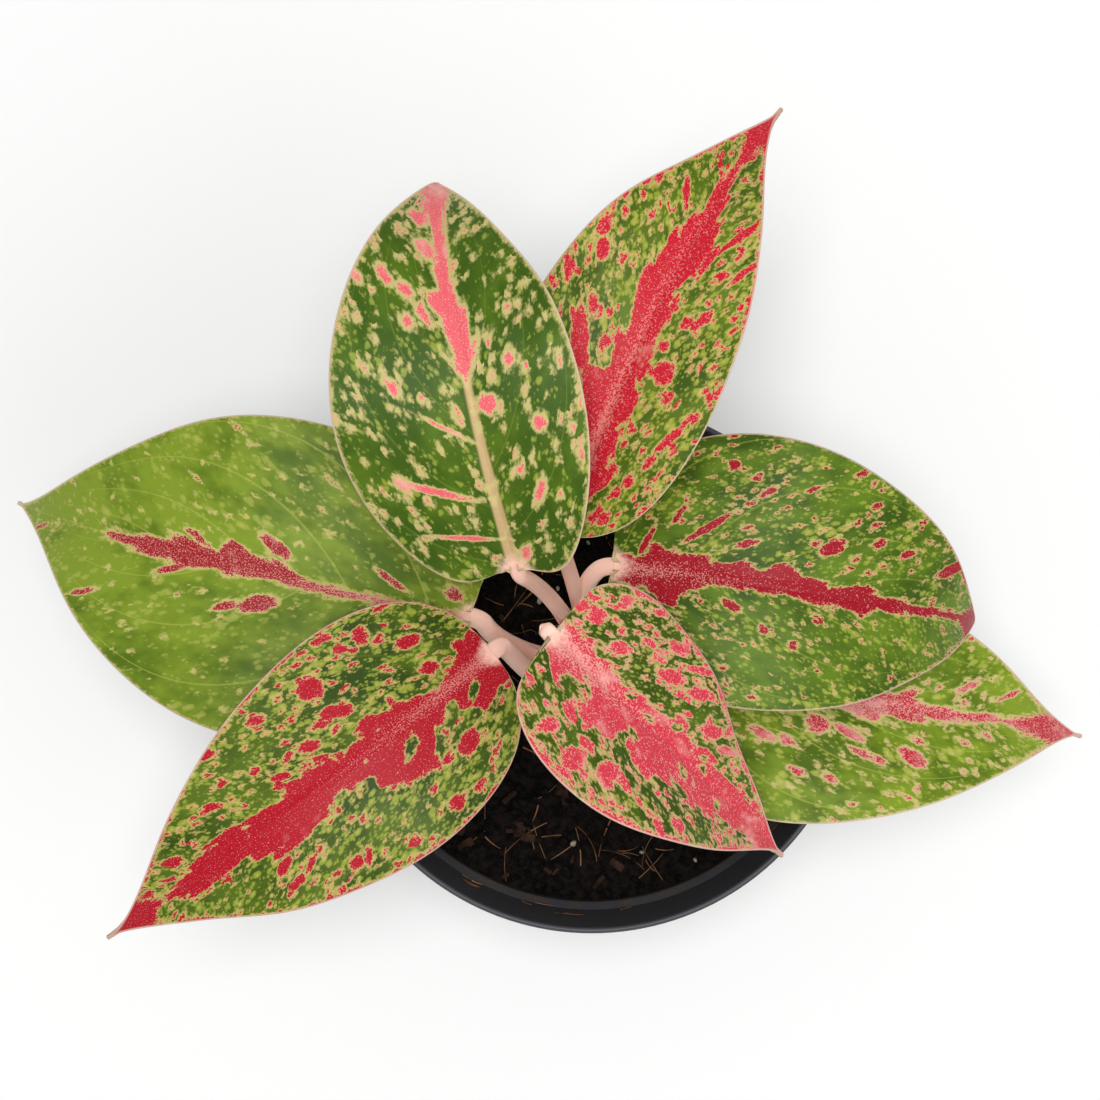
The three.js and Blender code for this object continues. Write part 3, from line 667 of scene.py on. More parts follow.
def petiole_finish(stalk):
    """Pale salmon with whiter streaks, flushed magenta on the sheath and greenish near its foot."""
    whitest, deepest_flush, deepest_green = 0.7, 0.6, 0.6
    streaks_round, streaks_along = 2.5, 0.06
    blots_round, blots_along = 4.0, 0.5
    skin = Finish("petiole")
    share, around, along = skin.attribute("stalk")
    streaky = skin.combine(skin.times(around, streaks_round), skin.times(along, streaks_along), share)
    streaks = skin.noise(streaky, 1.0, 3.0)
    whiter = skin.times(skin.ramp(streaks, 0.40, 0.75), whitest)
    colour = skin.blend(whiter, FLESH, stalk.pale)
    flushed = skin.times(skin.ramp(share, 0.60, 0.40), skin.ramp(streaks, 0.46, 0.62), deepest_flush)
    colour = skin.blend(flushed, colour, stalk.flush)
    blotchy = skin.combine(skin.times(around, blots_round), skin.times(along, blots_along), share)
    blots = skin.ramp(skin.noise(blotchy, 1.0, 2.0), 0.55, 0.72)
    greenish = skin.times(skin.ramp(share, 0.40, 0.05), blots, deepest_green)
    return skin.finish(skin.blend(greenish, colour, stalk.greenish), roughness=0.5, specular=0.2)


def leaf_places(skin, seed):
    """What a blade's attributes say of each point of it, in millimetres or shares of its length."""
    stretch, lean = 0.72, 0.35
    along, across, underside = skin.attribute("place")
    edge, phase, share = skin.attribute("edges")
    centre_gap = skin.math("ABSOLUTE", across)
    ahead = skin.minus(skin.times(along, stretch), skin.times(centre_gap, lean))
    return SimpleNamespace(
        along=along, centre_gap=centre_gap, underside=underside, edge=edge, phase=phase, share=share,
        marks=skin.attribute("marks"),
        place=skin.combine(skin.plus(ahead, seed), across, seed),
        fine_place=skin.combine(skin.plus(along, seed), across, seed),
    )


def leaf_greens(skin, look, at):
    """The green ground: deep to fresh, strewn with soft round yellow-green specks."""
    mottle_size, smaller, fainter, heart_strength = 14.0, 0.55, 0.75, 0.6
    speck_size, strength = look["speck_size"], look["speck_strength"]
    mottled = skin.plus(skin.noise(at.place, mottle_size, 3.0, 0.65), skin.times(at.share, look["ripen"]))
    ground = skin.blend(skin.ramp(mottled, 0.40, 0.74), look["deep"], look["fresh"])
    for size, shown in ((speck_size, strength), (smaller * speck_size, fainter * strength)):
        cluster = skin.minus(skin.noise(at.place, 3.0 * size, 3.0, 0.6), 0.5)
        distance, number = skin.cells(skin.warp(at.place, 0.6 * size, 0.7 * size), size)
        wide = skin.plus(skin.times(cluster, 1.9), skin.times(number, 0.35), 0.6 * look["speckle"] - 0.12)
        gap = skin.minus(distance, skin.math("MINIMUM", wide, 0.50))
        ground = skin.blend(skin.times(skin.ramp(gap, 0.13, -0.10), shown), ground, look["speck"])
        heart = skin.times(skin.ramp(gap, -0.16, -0.36), heart_strength * shown)
        ground = skin.blend(heart, ground, look["cream"])
    return ground


def veined(skin, look, at, ground):
    """Draws the side veins, and the midrib as far as it shows, on the green."""
    midrib_strength = 0.8
    off_vein = skin.math("ABSOLUTE", skin.minus(at.phase, skin.math("ROUND", at.phase)))
    on_vein = skin.times(skin.ramp(off_vein, 0.024, 0.004), skin.ramp(at.centre_gap, 0.6, 2.5))
    ground = skin.blend(skin.times(on_vein, look["vein_show"]), ground, look["speck"])
    midrib_edge = skin.times(skin.minus(1.1, at.share), look["midrib_width"])
    on_midrib = skin.ramp(skin.minus(at.centre_gap, midrib_edge), 0.5, -0.4)
    fading = skin.ramp(at.share, look["midrib_end"], 0.5 * look["midrib_end"])
    return skin.blend(skin.times(on_midrib, fading, midrib_strength), ground, look["midrib_tint"])


def strewn_blotches(skin, place, amount, size):
    """Scattered blotches on amount of the cells: how far a place lies inside one, in millimetres."""
    distance, number = skin.cells(skin.warp(place, 0.55 * size, 0.95 * size), size)
    radius = skin.times(skin.minus(number, 1 - amount), 0.85)
    return skin.times(skin.minus(skin.math("MINIMUM", radius, 0.38), distance), size)


def red_margin(skin, look, at, ragged):
    """The broken red border: how far a place lies inside it, in millimetres."""
    raggedness, set_back = 6.0, 0.35
    begun = skin.ramp(at.share, look["margin_from"] - 0.05, look["margin_from"] + 0.15)
    wide = look["margin_red"]
    reach = skin.times(begun, skin.plus(skin.times(ragged, raggedness * wide), wide))
    return skin.minus(skin.minus(reach, set_back), at.edge)


def red_field(skin, look, at, seed):
    """How far, in millimetres, a place lies inside the red: negative outside it."""
    coarse_size, fine_size, coarse_reach, fine_reach = 5.0, 1.2, 4.0, 3.0
    hole_size, hole_depth, always_red = 5.5, 1.2, 1.5
    holes_apart, small_apart, small_share, small_size = 90.0, 40.0, 0.8, 0.5
    flame, ragged, spots = at.marks
    fingers = skin.times(skin.math("SINE", skin.times(at.phase, 4 * math.pi)), FINGER_SHARE)
    coarse = skin.minus(skin.noise(at.place, coarse_size, 3.0, 0.75), 0.5)
    fine = skin.minus(skin.noise(at.place, fine_size, 2.0, 0.7), 0.5)
    holes = strewn_blotches(skin, skin.moved(at.place, holes_apart + seed), look["holes"], hole_size)
    holes = skin.times(holes, -hole_depth)
    by_midrib = skin.plus(skin.minus(always_red, at.centre_gap), holes)
    band = skin.plus(flame, skin.times(ragged, skin.plus(coarse, fingers)))
    band = skin.math("MINIMUM", band, skin.most(by_midrib, holes))
    blot = skin.plus(spots, skin.times(coarse, coarse_reach))
    border = red_margin(skin, look, at, coarse)
    amount, size = look["scatter"], look["scatter_size"]
    large = strewn_blotches(skin, at.place, amount, size)
    small_place = skin.moved(at.place, small_apart)
    small = strewn_blotches(skin, small_place, small_share * amount, small_size * size)
    return skin.plus(skin.most(band, blot, large, small, border), skin.times(fine, fine_reach))


def red_tints(skin, look, at, red):
    """Crimson to pink, strewn with pale grains that crowd at the rim and near the petiole."""
    cloud_size, grain_size, palest, grain_strength = 9.0, 0.42, 0.8, 0.75
    beside = skin.ramp(at.centre_gap, look["pale_width"], 0.3)
    by_petiole = skin.times(skin.ramp(at.share, look["pale_reach"], 0.0), beside)
    clouds = skin.noise(at.place, cloud_size, 3.0, 0.65)
    blushing = skin.plus(clouds, skin.times(by_petiole, 0.05), look["blushing"])
    blush = skin.times(skin.ramp(blushing, 0.48, 0.72), palest)
    tint = skin.blend(blush, look["flame"], look["blush"])
    rim = skin.ramp(red, 0.9, 0.0)
    crowding = skin.plus(skin.times(by_petiole, 0.20), skin.times(rim, 0.10), look["grain"])
    grain = skin.ramp(skin.plus(skin.noise(at.fine_place, grain_size, 1.0, 0.7), crowding), 0.65, 0.70)
    return skin.blend(skin.times(grain, grain_strength), tint, look["blush"])


def base_flush(skin, look, at, colour):
    """Carries the petiole's colour on to the base of the blade."""
    wander_size, wander_reach, petiole_half, widening = 1.2, 5.0, 2.2, 1.6
    wander = skin.times(skin.noise(at.fine_place, wander_size, 3.0, 0.7), wander_reach)
    beyond = skin.times(skin.most(skin.minus(at.centre_gap, petiole_half), 0.0), widening)
    near = skin.plus(at.along, beyond, wander)
    return skin.blend(skin.ramp(near, look["flush_reach"], 2.5), colour, FLESH)


def leaf_finish(name, look, seed):
    """A variegated blade: green ground, cream halos, red flame and blotches, light veins, pale edge."""
    halo_strength, rim_strength, underside_strength, pore_size = 0.85, 0.7, 0.55, 0.5
    skin = Finish(f"leaf_{name}")
    at = leaf_places(skin, seed)
    ground = veined(skin, look, at, leaf_greens(skin, look, at))
    red = red_field(skin, look, at, seed)
    halo = skin.ramp(red, -0.3 - look["halo"], -0.30 * look["halo"])
    ground = skin.blend(skin.times(halo, halo_strength), ground, look["cream"])
    colour = skin.blend(skin.ramp(red, -0.16, 0.12), ground, red_tints(skin, look, at, red))
    colour = base_flush(skin, look, at, colour)
    rim = skin.most(skin.ramp(at.edge, 0.5, 0.2), skin.ramp(at.share, 0.950, 0.985))
    colour = skin.blend(skin.times(rim, rim_strength), colour, RIM_TINT)
    under_tint = [0.5 * (fresh + speck) + 0.05 for fresh, speck in zip(look["fresh"], look["speck"])]
    colour = skin.blend(at.underside, colour, skin.blend(underside_strength, colour, under_tint))
    pores = skin.noise(at.fine_place, pore_size, 3.0)
    return skin.finish(colour, roughness=0.46, specular=0.14, bump=pores, bump_depth=0.00004)


# Pot


def collar_bottom(pot):
    return pot.height - pot.collar_height


def body_top_radius(pot):
    return pot.rim_radius - pot.collar_flare - pot.shoulder


def outer_radius(pot, height):
    body_top = collar_bottom(pot) - pot.shoulder
    return pot.foot_radius + (body_top_radius(pot) - pot.foot_radius) * height / body_top


def inner_radius(pot, height):
    body_top = collar_bottom(pot) - pot.shoulder
    collar_inner = pot.rim_radius - pot.collar_flare - pot.wall
    if height <= body_top:
        return outer_radius(pot, height) - pot.wall
    if height < collar_bottom(pot):
        share = (height - body_top) / pot.shoulder
        return body_top_radius(pot) - pot.wall + share * (collar_inner - body_top_radius(pot) + pot.wall)
    return collar_inner + pot.collar_flare * (height - collar_bottom(pot)) / pot.collar_height


def lip_points(pot, steps=6):
    """The rounded lip, from its outside to its inside."""
    half = pot.wall / 2
    centre = pot.rim_radius - half
    turns = [math.pi * i / steps for i in range(steps + 1)]
    return [(centre + half * math.cos(a), pot.height - half + half * math.sin(a)) for a in turns]


def pot_profile(pot):
    foot_round, collar_edge, undercut = 0.0012, 0.0004, 0.0001
    body_top = collar_bottom(pot) - pot.shoulder
    collar_foot = pot.rim_radius - pot.collar_flare
    outside = [
        (0.0, 0.0), (pot.foot_radius - foot_round, 0.0),
        (pot.foot_radius - foot_round / 3, foot_round / 3),
        (outer_radius(pot, foot_round), foot_round), (body_top_radius(pot), body_top),
        (collar_foot - collar_edge, collar_bottom(pot) - undercut),
        (collar_foot, collar_bottom(pot) + collar_edge),
    ]
    inside = [
        (inner_radius(pot, collar_bottom(pot)), collar_bottom(pot)),
        (inner_radius(pot, body_top), body_top),
        (inner_radius(pot, pot.floor + foot_round), pot.floor + foot_round),
        (inner_radius(pot, pot.floor) - foot_round, pot.floor), (0.0, pot.floor),
    ]
    return outside + lip_points(pot) + inside


def drain_cutter(pot):
    """One object holding a peg for each drain hole."""
    bm = bmesh.new()
    for hole in range(pot.drain_holes):
        angle = (hole + 0.5) * 2 * math.pi / pot.drain_holes
        place = Vector((math.cos(angle), math.sin(angle), 0.0)) * pot.drain_ring_radius
        bmesh.ops.create_cone(
            bm, cap_ends=True, segments=32, radius1=pot.drain_hole_radius,
            radius2=pot.drain_hole_radius, depth=4 * pot.floor, matrix=Matrix.Translation(place),
        )
    return add_object("drain_cutter", mesh_of("drain_cutter", bm))


def close_slivers(mesh, reach=0.000004):
    """Merges corners that a cut has left almost on top of each other."""
    bm = bmesh.new()
    bm.from_mesh(mesh)
    bmesh.ops.remove_doubles(bm, verts=bm.verts, dist=reach)
    bmesh.ops.dissolve_degenerate(bm, dist=reach, edges=bm.edges)
    bm.to_mesh(mesh)
    bm.free()


def apply_cut(piece, cutter):
    """Cuts one object out of another for good and drops the cutter."""
    cut = piece.modifiers.new("drains", "BOOLEAN")
    cut.operation = "DIFFERENCE"
    cut.solver = "EXACT"
    cut.object = cutter
    bpy.context.view_layer.update()
    graph = bpy.context.evaluated_depsgraph_get()
    result = bpy.data.meshes.new_from_object(piece.evaluated_get(graph))
    piece.modifiers.clear()
    piece.data = result
    bpy.data.objects.remove(cutter)
    if not result.vertices:
        raise RuntimeError(f"the cut left nothing of {piece.name}")
    close_slivers(result)


class PLANT_OT_pot(bpy.types.Operator):
    """Turns the nursery pot and drills its drain holes"""

    bl_idname = "plant.pot"
    bl_label = "Pot"

    def execute(self, context):
        pot = context.scene.plant_pot
        shell = spun_shell(pot_profile(pot), POT_SIDES)
        plastic = plastic_finish(pot, context.scene.plant_mix)
        piece = new_piece("nursery_pot", shell, plastic, "pot")
        apply_cut(piece, drain_cutter(pot))
        piece.data.set_sharp_from_angle(angle=SHARP_ANGLE)
        return {"FINISHED"}


# Potting mix


def mix_height(mix, x, y):
    """The height of the humps of the potting mix, in metres."""
    east, north = x / MM, y / MM
    ripple = math.sin(east * 0.21 + 1.3) * math.cos(north * 0.17)
    ripple += 0.6 * math.sin(east * 0.09 - north * 0.31)
    return mix.top + mix.relief * ripple / 1.6


def lumpy_height(mix, x, y):
    """The humps with the lumps of the mix on them."""
    lumps_per_metre, lump_height = 260, 0.0008
    lumps = noise.fractal(Vector((x, y, 0.0)) * lumps_per_metre, 0.7, 2.1, 4)
    return mix_height(mix, x, y) + lump_height * lumps


def mix_bed(mix, pot):
    """The body of the mix, its top lumpy and its side against the pot."""
    gap, foot_round, edge_round, below_collar, rings = 0.0003, 0.0012, 0.0004, 0.001, 64
    floor = pot.floor + gap
    edge_height = collar_bottom(pot) - pot.shoulder - below_collar
    edge = inner_radius(pot, edge_height) - gap
    profile = [(0.0, floor), (inner_radius(pot, floor) - foot_round, floor), (edge, edge_height)]
    profile += [((edge - edge_round) * (1 - i / rings), mix.top) for i in range(rings + 1)]
    bm = spun_shell(profile, MIX_SIDES)
    for vert in bm.verts:
        if vert.co.z > edge_height + 0.5 * below_collar:
            vert.co.z = lumpy_height(mix, vert.co.x, vert.co.y)
    return bm


def scattered_place(draw, mix, reach):
    """A place on the mix, away from the stem and the wall."""
    by_stem = 0.010
    angle = draw.uniform(0, 2 * math.pi)
    distance = math.sqrt(draw.uniform(by_stem ** 2, reach ** 2))
    x, y = distance * math.cos(angle), distance * math.sin(angle)
    return Vector((x, y, mix_height(mix, x, y)))


def random_turn(draw):
    angles = [draw.uniform(0, 2 * math.pi) for _ in range(3)]
    return Euler(angles).to_matrix().to_4x4()


def add_crumbs(bm, mix, draw, reach):
    """Angular crumbs, most of them fine, made a handful at a time."""
    handful, finest, growth = 100, 0.0004, 0.0016
    for _ in range(mix.crumbs // handful):
        few = bmesh.new()
        for _ in range(handful):
            size = finest + growth * draw.random() ** 3
            place = scattered_place(draw, mix, reach)
            place.z += size * draw.uniform(-0.2, 0.7)
            long, flat = size * draw.uniform(0.7, 1.5), size * draw.uniform(0.5, 0.9)
            shape = Matrix.Diagonal((long, size, flat, 1.0))
            matrix = Matrix.Translation(place) @ random_turn(draw) @ shape
            bmesh.ops.create_icosphere(few, subdivisions=1, radius=1.0, matrix=matrix)
        pour(few, bm)


def pour(few, bm):
    """Adds a small bmesh to a large one."""
    mesh = mesh_of("handful", few)
    bm.from_mesh(mesh)
    bpy.data.meshes.remove(mesh)


def add_chips(bm, mix, draw, reach):
    """Flat chips of bark lying at a slant."""
    shortest, longest, slant, lift, bevel = 0.0010, 0.0034, 0.5, 0.0006, 0.0003
    for _ in range(mix.chips):
        long = draw.uniform(shortest, longest)
        place = scattered_place(draw, mix, reach - long)
        place.z += lift
        tilt = Euler((draw.uniform(-slant, slant), draw.uniform(-slant, slant), draw.uniform(0, math.pi)))
        wide, thick = long * draw.uniform(0.3, 0.6), draw.uniform(0.0008, 0.0016)
        shape = Matrix.Diagonal((long, wide, thick, 1.0))
        matrix = Matrix.Translation(place) @ tilt.to_matrix().to_4x4() @ shape
        chip = bmesh.ops.create_cube(bm, size=1.6, matrix=matrix)["verts"]
        edges = list({edge for vert in chip for edge in vert.link_edges})
        bmesh.ops.bevel(
            bm, geom=edges, offset=bevel, segments=1, profile=0.5, affect="EDGES", material=-1
        )


def add_fibre(bm, foot, heading, lift, long, thick, bend):
    """A thin bent strand: a rod cut into short lengths and moved on to an arc."""
    taper, sag = 0.6, 0.12
    rod = bmesh.new()
    bmesh.ops.create_cone(
        rod, cap_ends=True, segments=5, radius1=thick, radius2=thick * taper, depth=long,
        matrix=Matrix.Rotation(math.pi / 2, 4, "Y"),
    )
    sides = [edge for edge in rod.edges if edge.calc_length() > long / 2]
    bmesh.ops.subdivide_edges(rod, edges=sides, cuts=7)
    turn = Matrix.Rotation(heading, 4, "Z") @ Matrix.Rotation(-lift, 4, "Y")
    for vert in rod.verts:
        along = vert.co.x / long
        vert.co.y += bend * long * (along * along - 0.25)
        vert.co.z -= sag * abs(bend) * long * along * along
        vert.co = foot + turn @ vert.co
    pour(rod, bm)


def add_fibres(bm, mix, pot, draw, reach):
    """Strands lying on the mix, and a few that cling to the wall above it."""
    long_range, thick_range, lying_lift = (0.004, 0.016), (0.00010, 0.0003), 0.15
    wall_range, wall_thick_range, wall_lift, off_wall = (0.003, 0.007), (0.00012, 0.0003), 0.9, 0.0008
    for _ in range(mix.fibres):
        long = draw.uniform(*long_range)
        foot = scattered_place(draw, mix, reach - long / 2)
        foot.z += draw.uniform(0.0004, 0.0012)
        heading, lift = draw.uniform(0, 2 * math.pi), draw.uniform(-lying_lift, lying_lift)
        add_fibre(bm, foot, heading, lift, long, draw.uniform(*thick_range), draw.uniform(-0.5, 0.5))
    for _ in range(mix.clinging):
        height = mix.top + draw.uniform(0.0015, 0.010)
        angle = draw.uniform(0, 2 * math.pi)
        distance = inner_radius(pot, height) - off_wall
        foot = Vector((distance * math.cos(angle), distance * math.sin(angle), height))
        heading, lift = angle + math.pi / 2, draw.uniform(-wall_lift, wall_lift)
        long, thick = draw.uniform(*wall_range), draw.uniform(*wall_thick_range)
        add_fibre(bm, foot, heading, lift, long, thick, draw.uniform(0.05, 0.2))


def add_grains(bm, mix, draw, reach):
    smallest, largest, lift, flatness = 0.0005, 0.0012, 0.6, 0.7
    for _ in range(mix.grains):
        size = draw.uniform(smallest, largest)
        place = scattered_place(draw, mix, reach)
        place.z += size * lift
        shape = Matrix.Diagonal((size, size, size * flatness, 1.0))
        matrix = Matrix.Translation(place) @ random_turn(draw) @ shape
        bmesh.ops.create_icosphere(bm, subdivisions=2, radius=1.0, matrix=matrix)


class PLANT_OT_potting_mix(bpy.types.Operator):
    """Fills the pot with mix and strews crumbs, bark, fibres and grit on it"""

    bl_idname = "plant.potting_mix"
    bl_label = "Potting mix"

    def execute(self, context):
        pot, mix = context.scene.plant_pot, context.scene.plant_mix
        off_wall, grit = 0.003, (0.32, 0.28, 0.22)
        draw = random.Random(mix.seed)
        reach = inner_radius(pot, mix.top) - off_wall
        bed = mix_bed(mix, pot)
        add_crumbs(bed, mix, draw, reach)
        earth = crumbly_finish("potting_mix", mix.earth, contrast=3.6, size=0.0022)
        new_piece("mix_bed", bed, earth, "potting_mix")
        layers = [
            ("bark_chips", lambda bm: add_chips(bm, mix, draw, reach), mix.bark, 2.2, 0.0070),
            ("coir_fibres", lambda bm: add_fibres(bm, mix, pot, draw, reach), mix.coir, 2.2, 0.0120),
            ("pale_grit", lambda bm: add_grains(bm, mix, draw, reach), grit, 1.4, 0.0020),
        ]
        for name, fill, tint, contrast, size in layers:
            bits = bmesh.new()
            fill(bits)
            finish = crumbly_finish(name, tint, contrast, size)
            new_piece(name, bits, finish, "potting_mix")
        return {"FINISHED"}


# Stem


def cane_profile(stalk):
    bottom, top = CANE_LOW.z, CANE_HIGH.z
    foot_share, bevel, groove, crest = 0.8, 0.0008, 0.0014, 0.0004
    radius, ridge = stalk.cane_radius, stalk.scar_ridge
    profile = [(0.0, bottom), (radius * foot_share, bottom)]
    scars = int((top - SOIL_HIGH.z) / stalk.scar_spacing)
    for ring in range(scars):
        height = top - stalk.scar_spacing * (scars - ring)
        profile += [
            (radius, height - groove), (radius + 0.7 * ridge, height - crest),
            (radius + ridge, height), (radius + 0.3 * ridge, height + 0.0003),
        ]
    profile += [(radius, top - bevel), (radius - 0.3 * bevel, top - 0.3 * bevel)]
    profile += [(radius - bevel, top), (0.0, top)]
    return profile


class PLANT_OT_cane(bpy.types.Operator):
    """Turns the short stem with its leaf scars"""

    bl_idname = "plant.cane"
    bl_label = "Stem"

    def execute(self, context):
        stalk = context.scene.plant_stalks
        centre = (CROWN[0] * MM, CROWN[1] * MM)
        shell = spun_shell(cane_profile(stalk), CANE_SIDES, centre)
        new_piece("cane", shell, cane_finish(stalk), "stem")
        return {"FINISHED"}


# Leaf shape


def direction(heading, rise):
    """Unit vectors for compass angles and slopes in degrees."""
    heading, rise = np.radians(heading), np.radians(rise)
    x = np.cos(rise) * np.cos(heading)
    y = np.cos(rise) * np.sin(heading)
    return np.stack(np.broadcast_arrays(x, y, np.sin(rise)), axis=-1)


def width_share(leaf, t):
    """Half-width of the blade, as a share of its widest, at the share t of its length."""
    near_base, near_tip = leaf["near_base"], leaf["near_tip"]
    widest = near_base / (near_base + near_tip)
    scale = 1 / (widest ** near_base * (1 - widest) ** near_tip)
    inside = np.clip(t, 1e-6, 1 - 1e-6)
    body = scale * inside ** near_base * (1 - inside) ** near_tip
    tip = TIP_WIDTH * (1 - inside) ** TIP_TAPER
    return (body ** -4 + tip ** -4) ** -0.25


def half_width_at(leaf, t, side):
    least = leaf["stalk"] + (TIP_HALF_WIDTH - leaf["stalk"]) * t
    return np.maximum(leaf["half_width"] * width_share(leaf, t) * (1 + side * leaf["uneven"]), least)


def midrib_tangent(leaf, share):
    slope = leaf["rise"] + (leaf["droop"] - leaf["rise"]) * share ** SLOPE_POWER
    return direction(leaf["heading"] + leaf["sweep"] * share, slope)


def midrib_curve(leaf):
    """The midrib's points at even steps along the blade."""
    shares = (np.arange(MIDRIB_STEPS) + 0.5) / MIDRIB_STEPS
    steps = midrib_tangent(leaf, shares) * leaf["length"] / MIDRIB_STEPS
    return np.vstack([leaf["base"], leaf["base"] + np.cumsum(steps, axis=0)])


def point_on_midrib(leaf, curve, along):
    inside = np.clip(along, 0, leaf["length"])
    stations = np.linspace(0, leaf["length"], len(curve))
    point = np.stack([np.interp(inside, stations, curve[:, axis]) for axis in range(3)], axis=-1)
    beyond = (along - inside)[..., None]
    return point + midrib_tangent(leaf, inside / leaf["length"]) * beyond


def blade_point(leaf, curve, along, across, lift):
    """Points of the blade's upper face: along the midrib, across it and raised by lift."""
    share = np.clip(along / leaf["length"], 0, 1)
    heading = np.radians(leaf["heading"] + leaf["sweep"] * share)
    level = np.stack([-np.sin(heading), np.cos(heading), np.zeros_like(heading)], axis=-1)
    up = np.cross(midrib_tangent(leaf, share), level)
    turn = np.radians(leaf["roll"] + leaf["twist"] * share)[..., None]
    side = level * np.cos(turn) + up * np.sin(turn)
    normal = up * np.cos(turn) - level * np.sin(turn)
    fold = math.radians(leaf["fold"])
    crease = np.hypot(across, SOFT_CREASE) - SOFT_CREASE
    height = math.sin(fold) * crease - leaf["camber"] * across ** 2 / leaf["half_width"] + lift
    sideways = side * (across * math.cos(fold))[..., None]
    return point_on_midrib(leaf, curve, along) + sideways + normal * height[..., None]


def leaf_coordinates(leaf, t, v):
    """Millimetres along the midrib and across it, for shares t along and v across."""
    lobe = leaf["lobe"] * (t / LOBE_PLACE) * np.exp(1 - t / LOBE_PLACE)
    on_midrib = leaf["length"] * (t - VEIN_SLANT * np.sin(math.pi * t))
    on_edge = leaf["length"] * t - lobe
    along = on_midrib + (on_edge - on_midrib) * np.abs(v) ** VEIN_BEND
    across = v * half_width_at(leaf, t, np.sign(v))
    return along, across


def vein_order(t, v):
    """Where on the midrib the side vein through a place begins, as a share of the blade."""
    spread = -np.log(1 - VEIN_SPREAD * np.clip(np.abs(v), 0, 1))
    return (t - VEIN_SETBACK * spread) / (1 + VEIN_SWEEP * spread)


def keel_drop(t, across):
    """How far the midrib's keel stands below the blade."""
    off_centre = np.minimum(1, np.abs(across) / KEEL_HALF_WIDTH)
    return KEEL_DEPTH * (1 - KEEL_FADE * t) * np.sqrt(1 - off_centre ** 2)


class BladeMaker:
    """Turns shares along and across a blade into places on it."""

    def __init__(self, leaf, sizes):
        self.leaf = leaf
        self.curve = midrib_curve(leaf)
        self.veins = sizes.side_veins
        self.wave = sizes.edge_wave / MM
        self.vein_sink = sizes.vein_sink / MM
        self.midrib_sink = sizes.midrib_sink / MM

    def phase(self, t, v):
        """A whole number on each side vein; the two halves alternate."""
        return vein_order(t, v) * self.veins + np.where(v < 0, 0.5, 0.0)

    def relief(self, t, v, across):
        """Sunk veins with the blade puffed up between them, in millimetres."""
        phase = self.phase(t, v)
        off_vein = np.abs(phase - np.round(phase))
        off_midrib = smooth_share(np.abs(across) / PUFF_START)
        off_margin = smooth_share((1 - np.abs(v)) / CALM_MARGIN)
        puff = self.vein_sink * (np.sqrt(off_vein * 2) - PUFF_LEVEL) * off_midrib * off_margin
        trough = np.exp(-((across / GROOVE_HALF_WIDTH) ** 2)) * (1 - GROOVE_FADE * t)
        groove = -self.midrib_sink * trough * (1 - self.near_base(t))
        return puff + groove + self.swelling(t, across)

    def near_base(self, t):
        """1 at the petiole, fading to 0 along the first stretch of the blade."""
        return np.exp(-((t * self.leaf["length"] / BASE_REACH) ** 2))

    def swelling(self, t, across):
        """How far the petiole's round section stands above, and below, the blade's base."""
        stalk = self.leaf["stalk"]
        arch = stalk * END_FLATNESS * smooth_share((1.25 * stalk - np.abs(across)) / stalk)
        return np.maximum(arch - (CAD_THICKNESS + KEEL_DEPTH) / 2, 0) * self.near_base(t)

    def upper(self, t, v):
        along, across = leaf_coordinates(self.leaf, t, v)
        turns = 2 * math.pi * self.leaf["waves"] * t + np.sign(v)
        wave = self.wave * v ** 2 * np.sin(math.pi * t) * np.sin(turns)
        lift = wave + self.relief(t, v, across)
        return blade_point(self.leaf, self.curve, along, across, lift)

    def normal(self, t, v):
        step = 0.002
        back, ahead = np.maximum(t - step, 0), np.minimum(t + step, 1)
        lengthways = self.upper(ahead, v) - self.upper(back, v)
        crossways = self.upper(t, np.minimum(v + step, 1)) - self.upper(t, np.maximum(v - step, -1))
        normal = np.cross(lengthways, crossways)
        return normal / np.linalg.norm(normal, axis=-1, keepdims=True)

    def depth(self, t, v, sizes):
        """From the upper face down to the lower one."""
        _, across = leaf_coordinates(self.leaf, t, v)
        edge_gap = (1 - np.abs(v)) * half_width_at(self.leaf, t, np.sign(v))
        body, edge = sizes.thickness / MM, sizes.edge_thickness / MM
        thickness = edge + (body - edge) * smooth_share(edge_gap / THIN_MARGIN)
        return thickness + keel_drop(t, across) + 2 * self.swelling(t, across)


def blade_grid(sizes):
    """A closed slab of shares: x and y run from -1 to 1, the lower face lies at -1."""
    bm = bmesh.new()
    bmesh.ops.create_grid(bm, x_segments=sizes.rows, y_segments=sizes.columns, size=1.0)
    lower = bmesh.ops.extrude_face_region(bm, geom=list(bm.faces))["geom"]
    lower_verts = [item for item in lower if isinstance(item, bmesh.types.BMVert)]
    bmesh.ops.translate(bm, verts=lower_verts, vec=(0, 0, -1))
    bmesh.ops.recalc_face_normals(bm, faces=bm.faces)
    return bm


def blot_field(spots, along, across):
    """The deepest that a place lies inside any of the blotches, in millimetres."""
    far_outside = -20.0
    field = np.full(along.shape, far_outside)
    for x, y, long, wide, *own_lean in spots:
        lean = math.radians(own_lean[0] if own_lean else math.copysign(BLOTCH_LEAN, y))
        ahead = (along - x) * math.cos(lean) + (across - y) * math.sin(lean)
        beside = (across - y) * math.cos(lean) - (along - x) * math.sin(lean)
        distance = np.hypot(ahead / long, beside / wide)
        field = np.maximum(field, (1 - distance) * math.sqrt(long * wide))
    return field


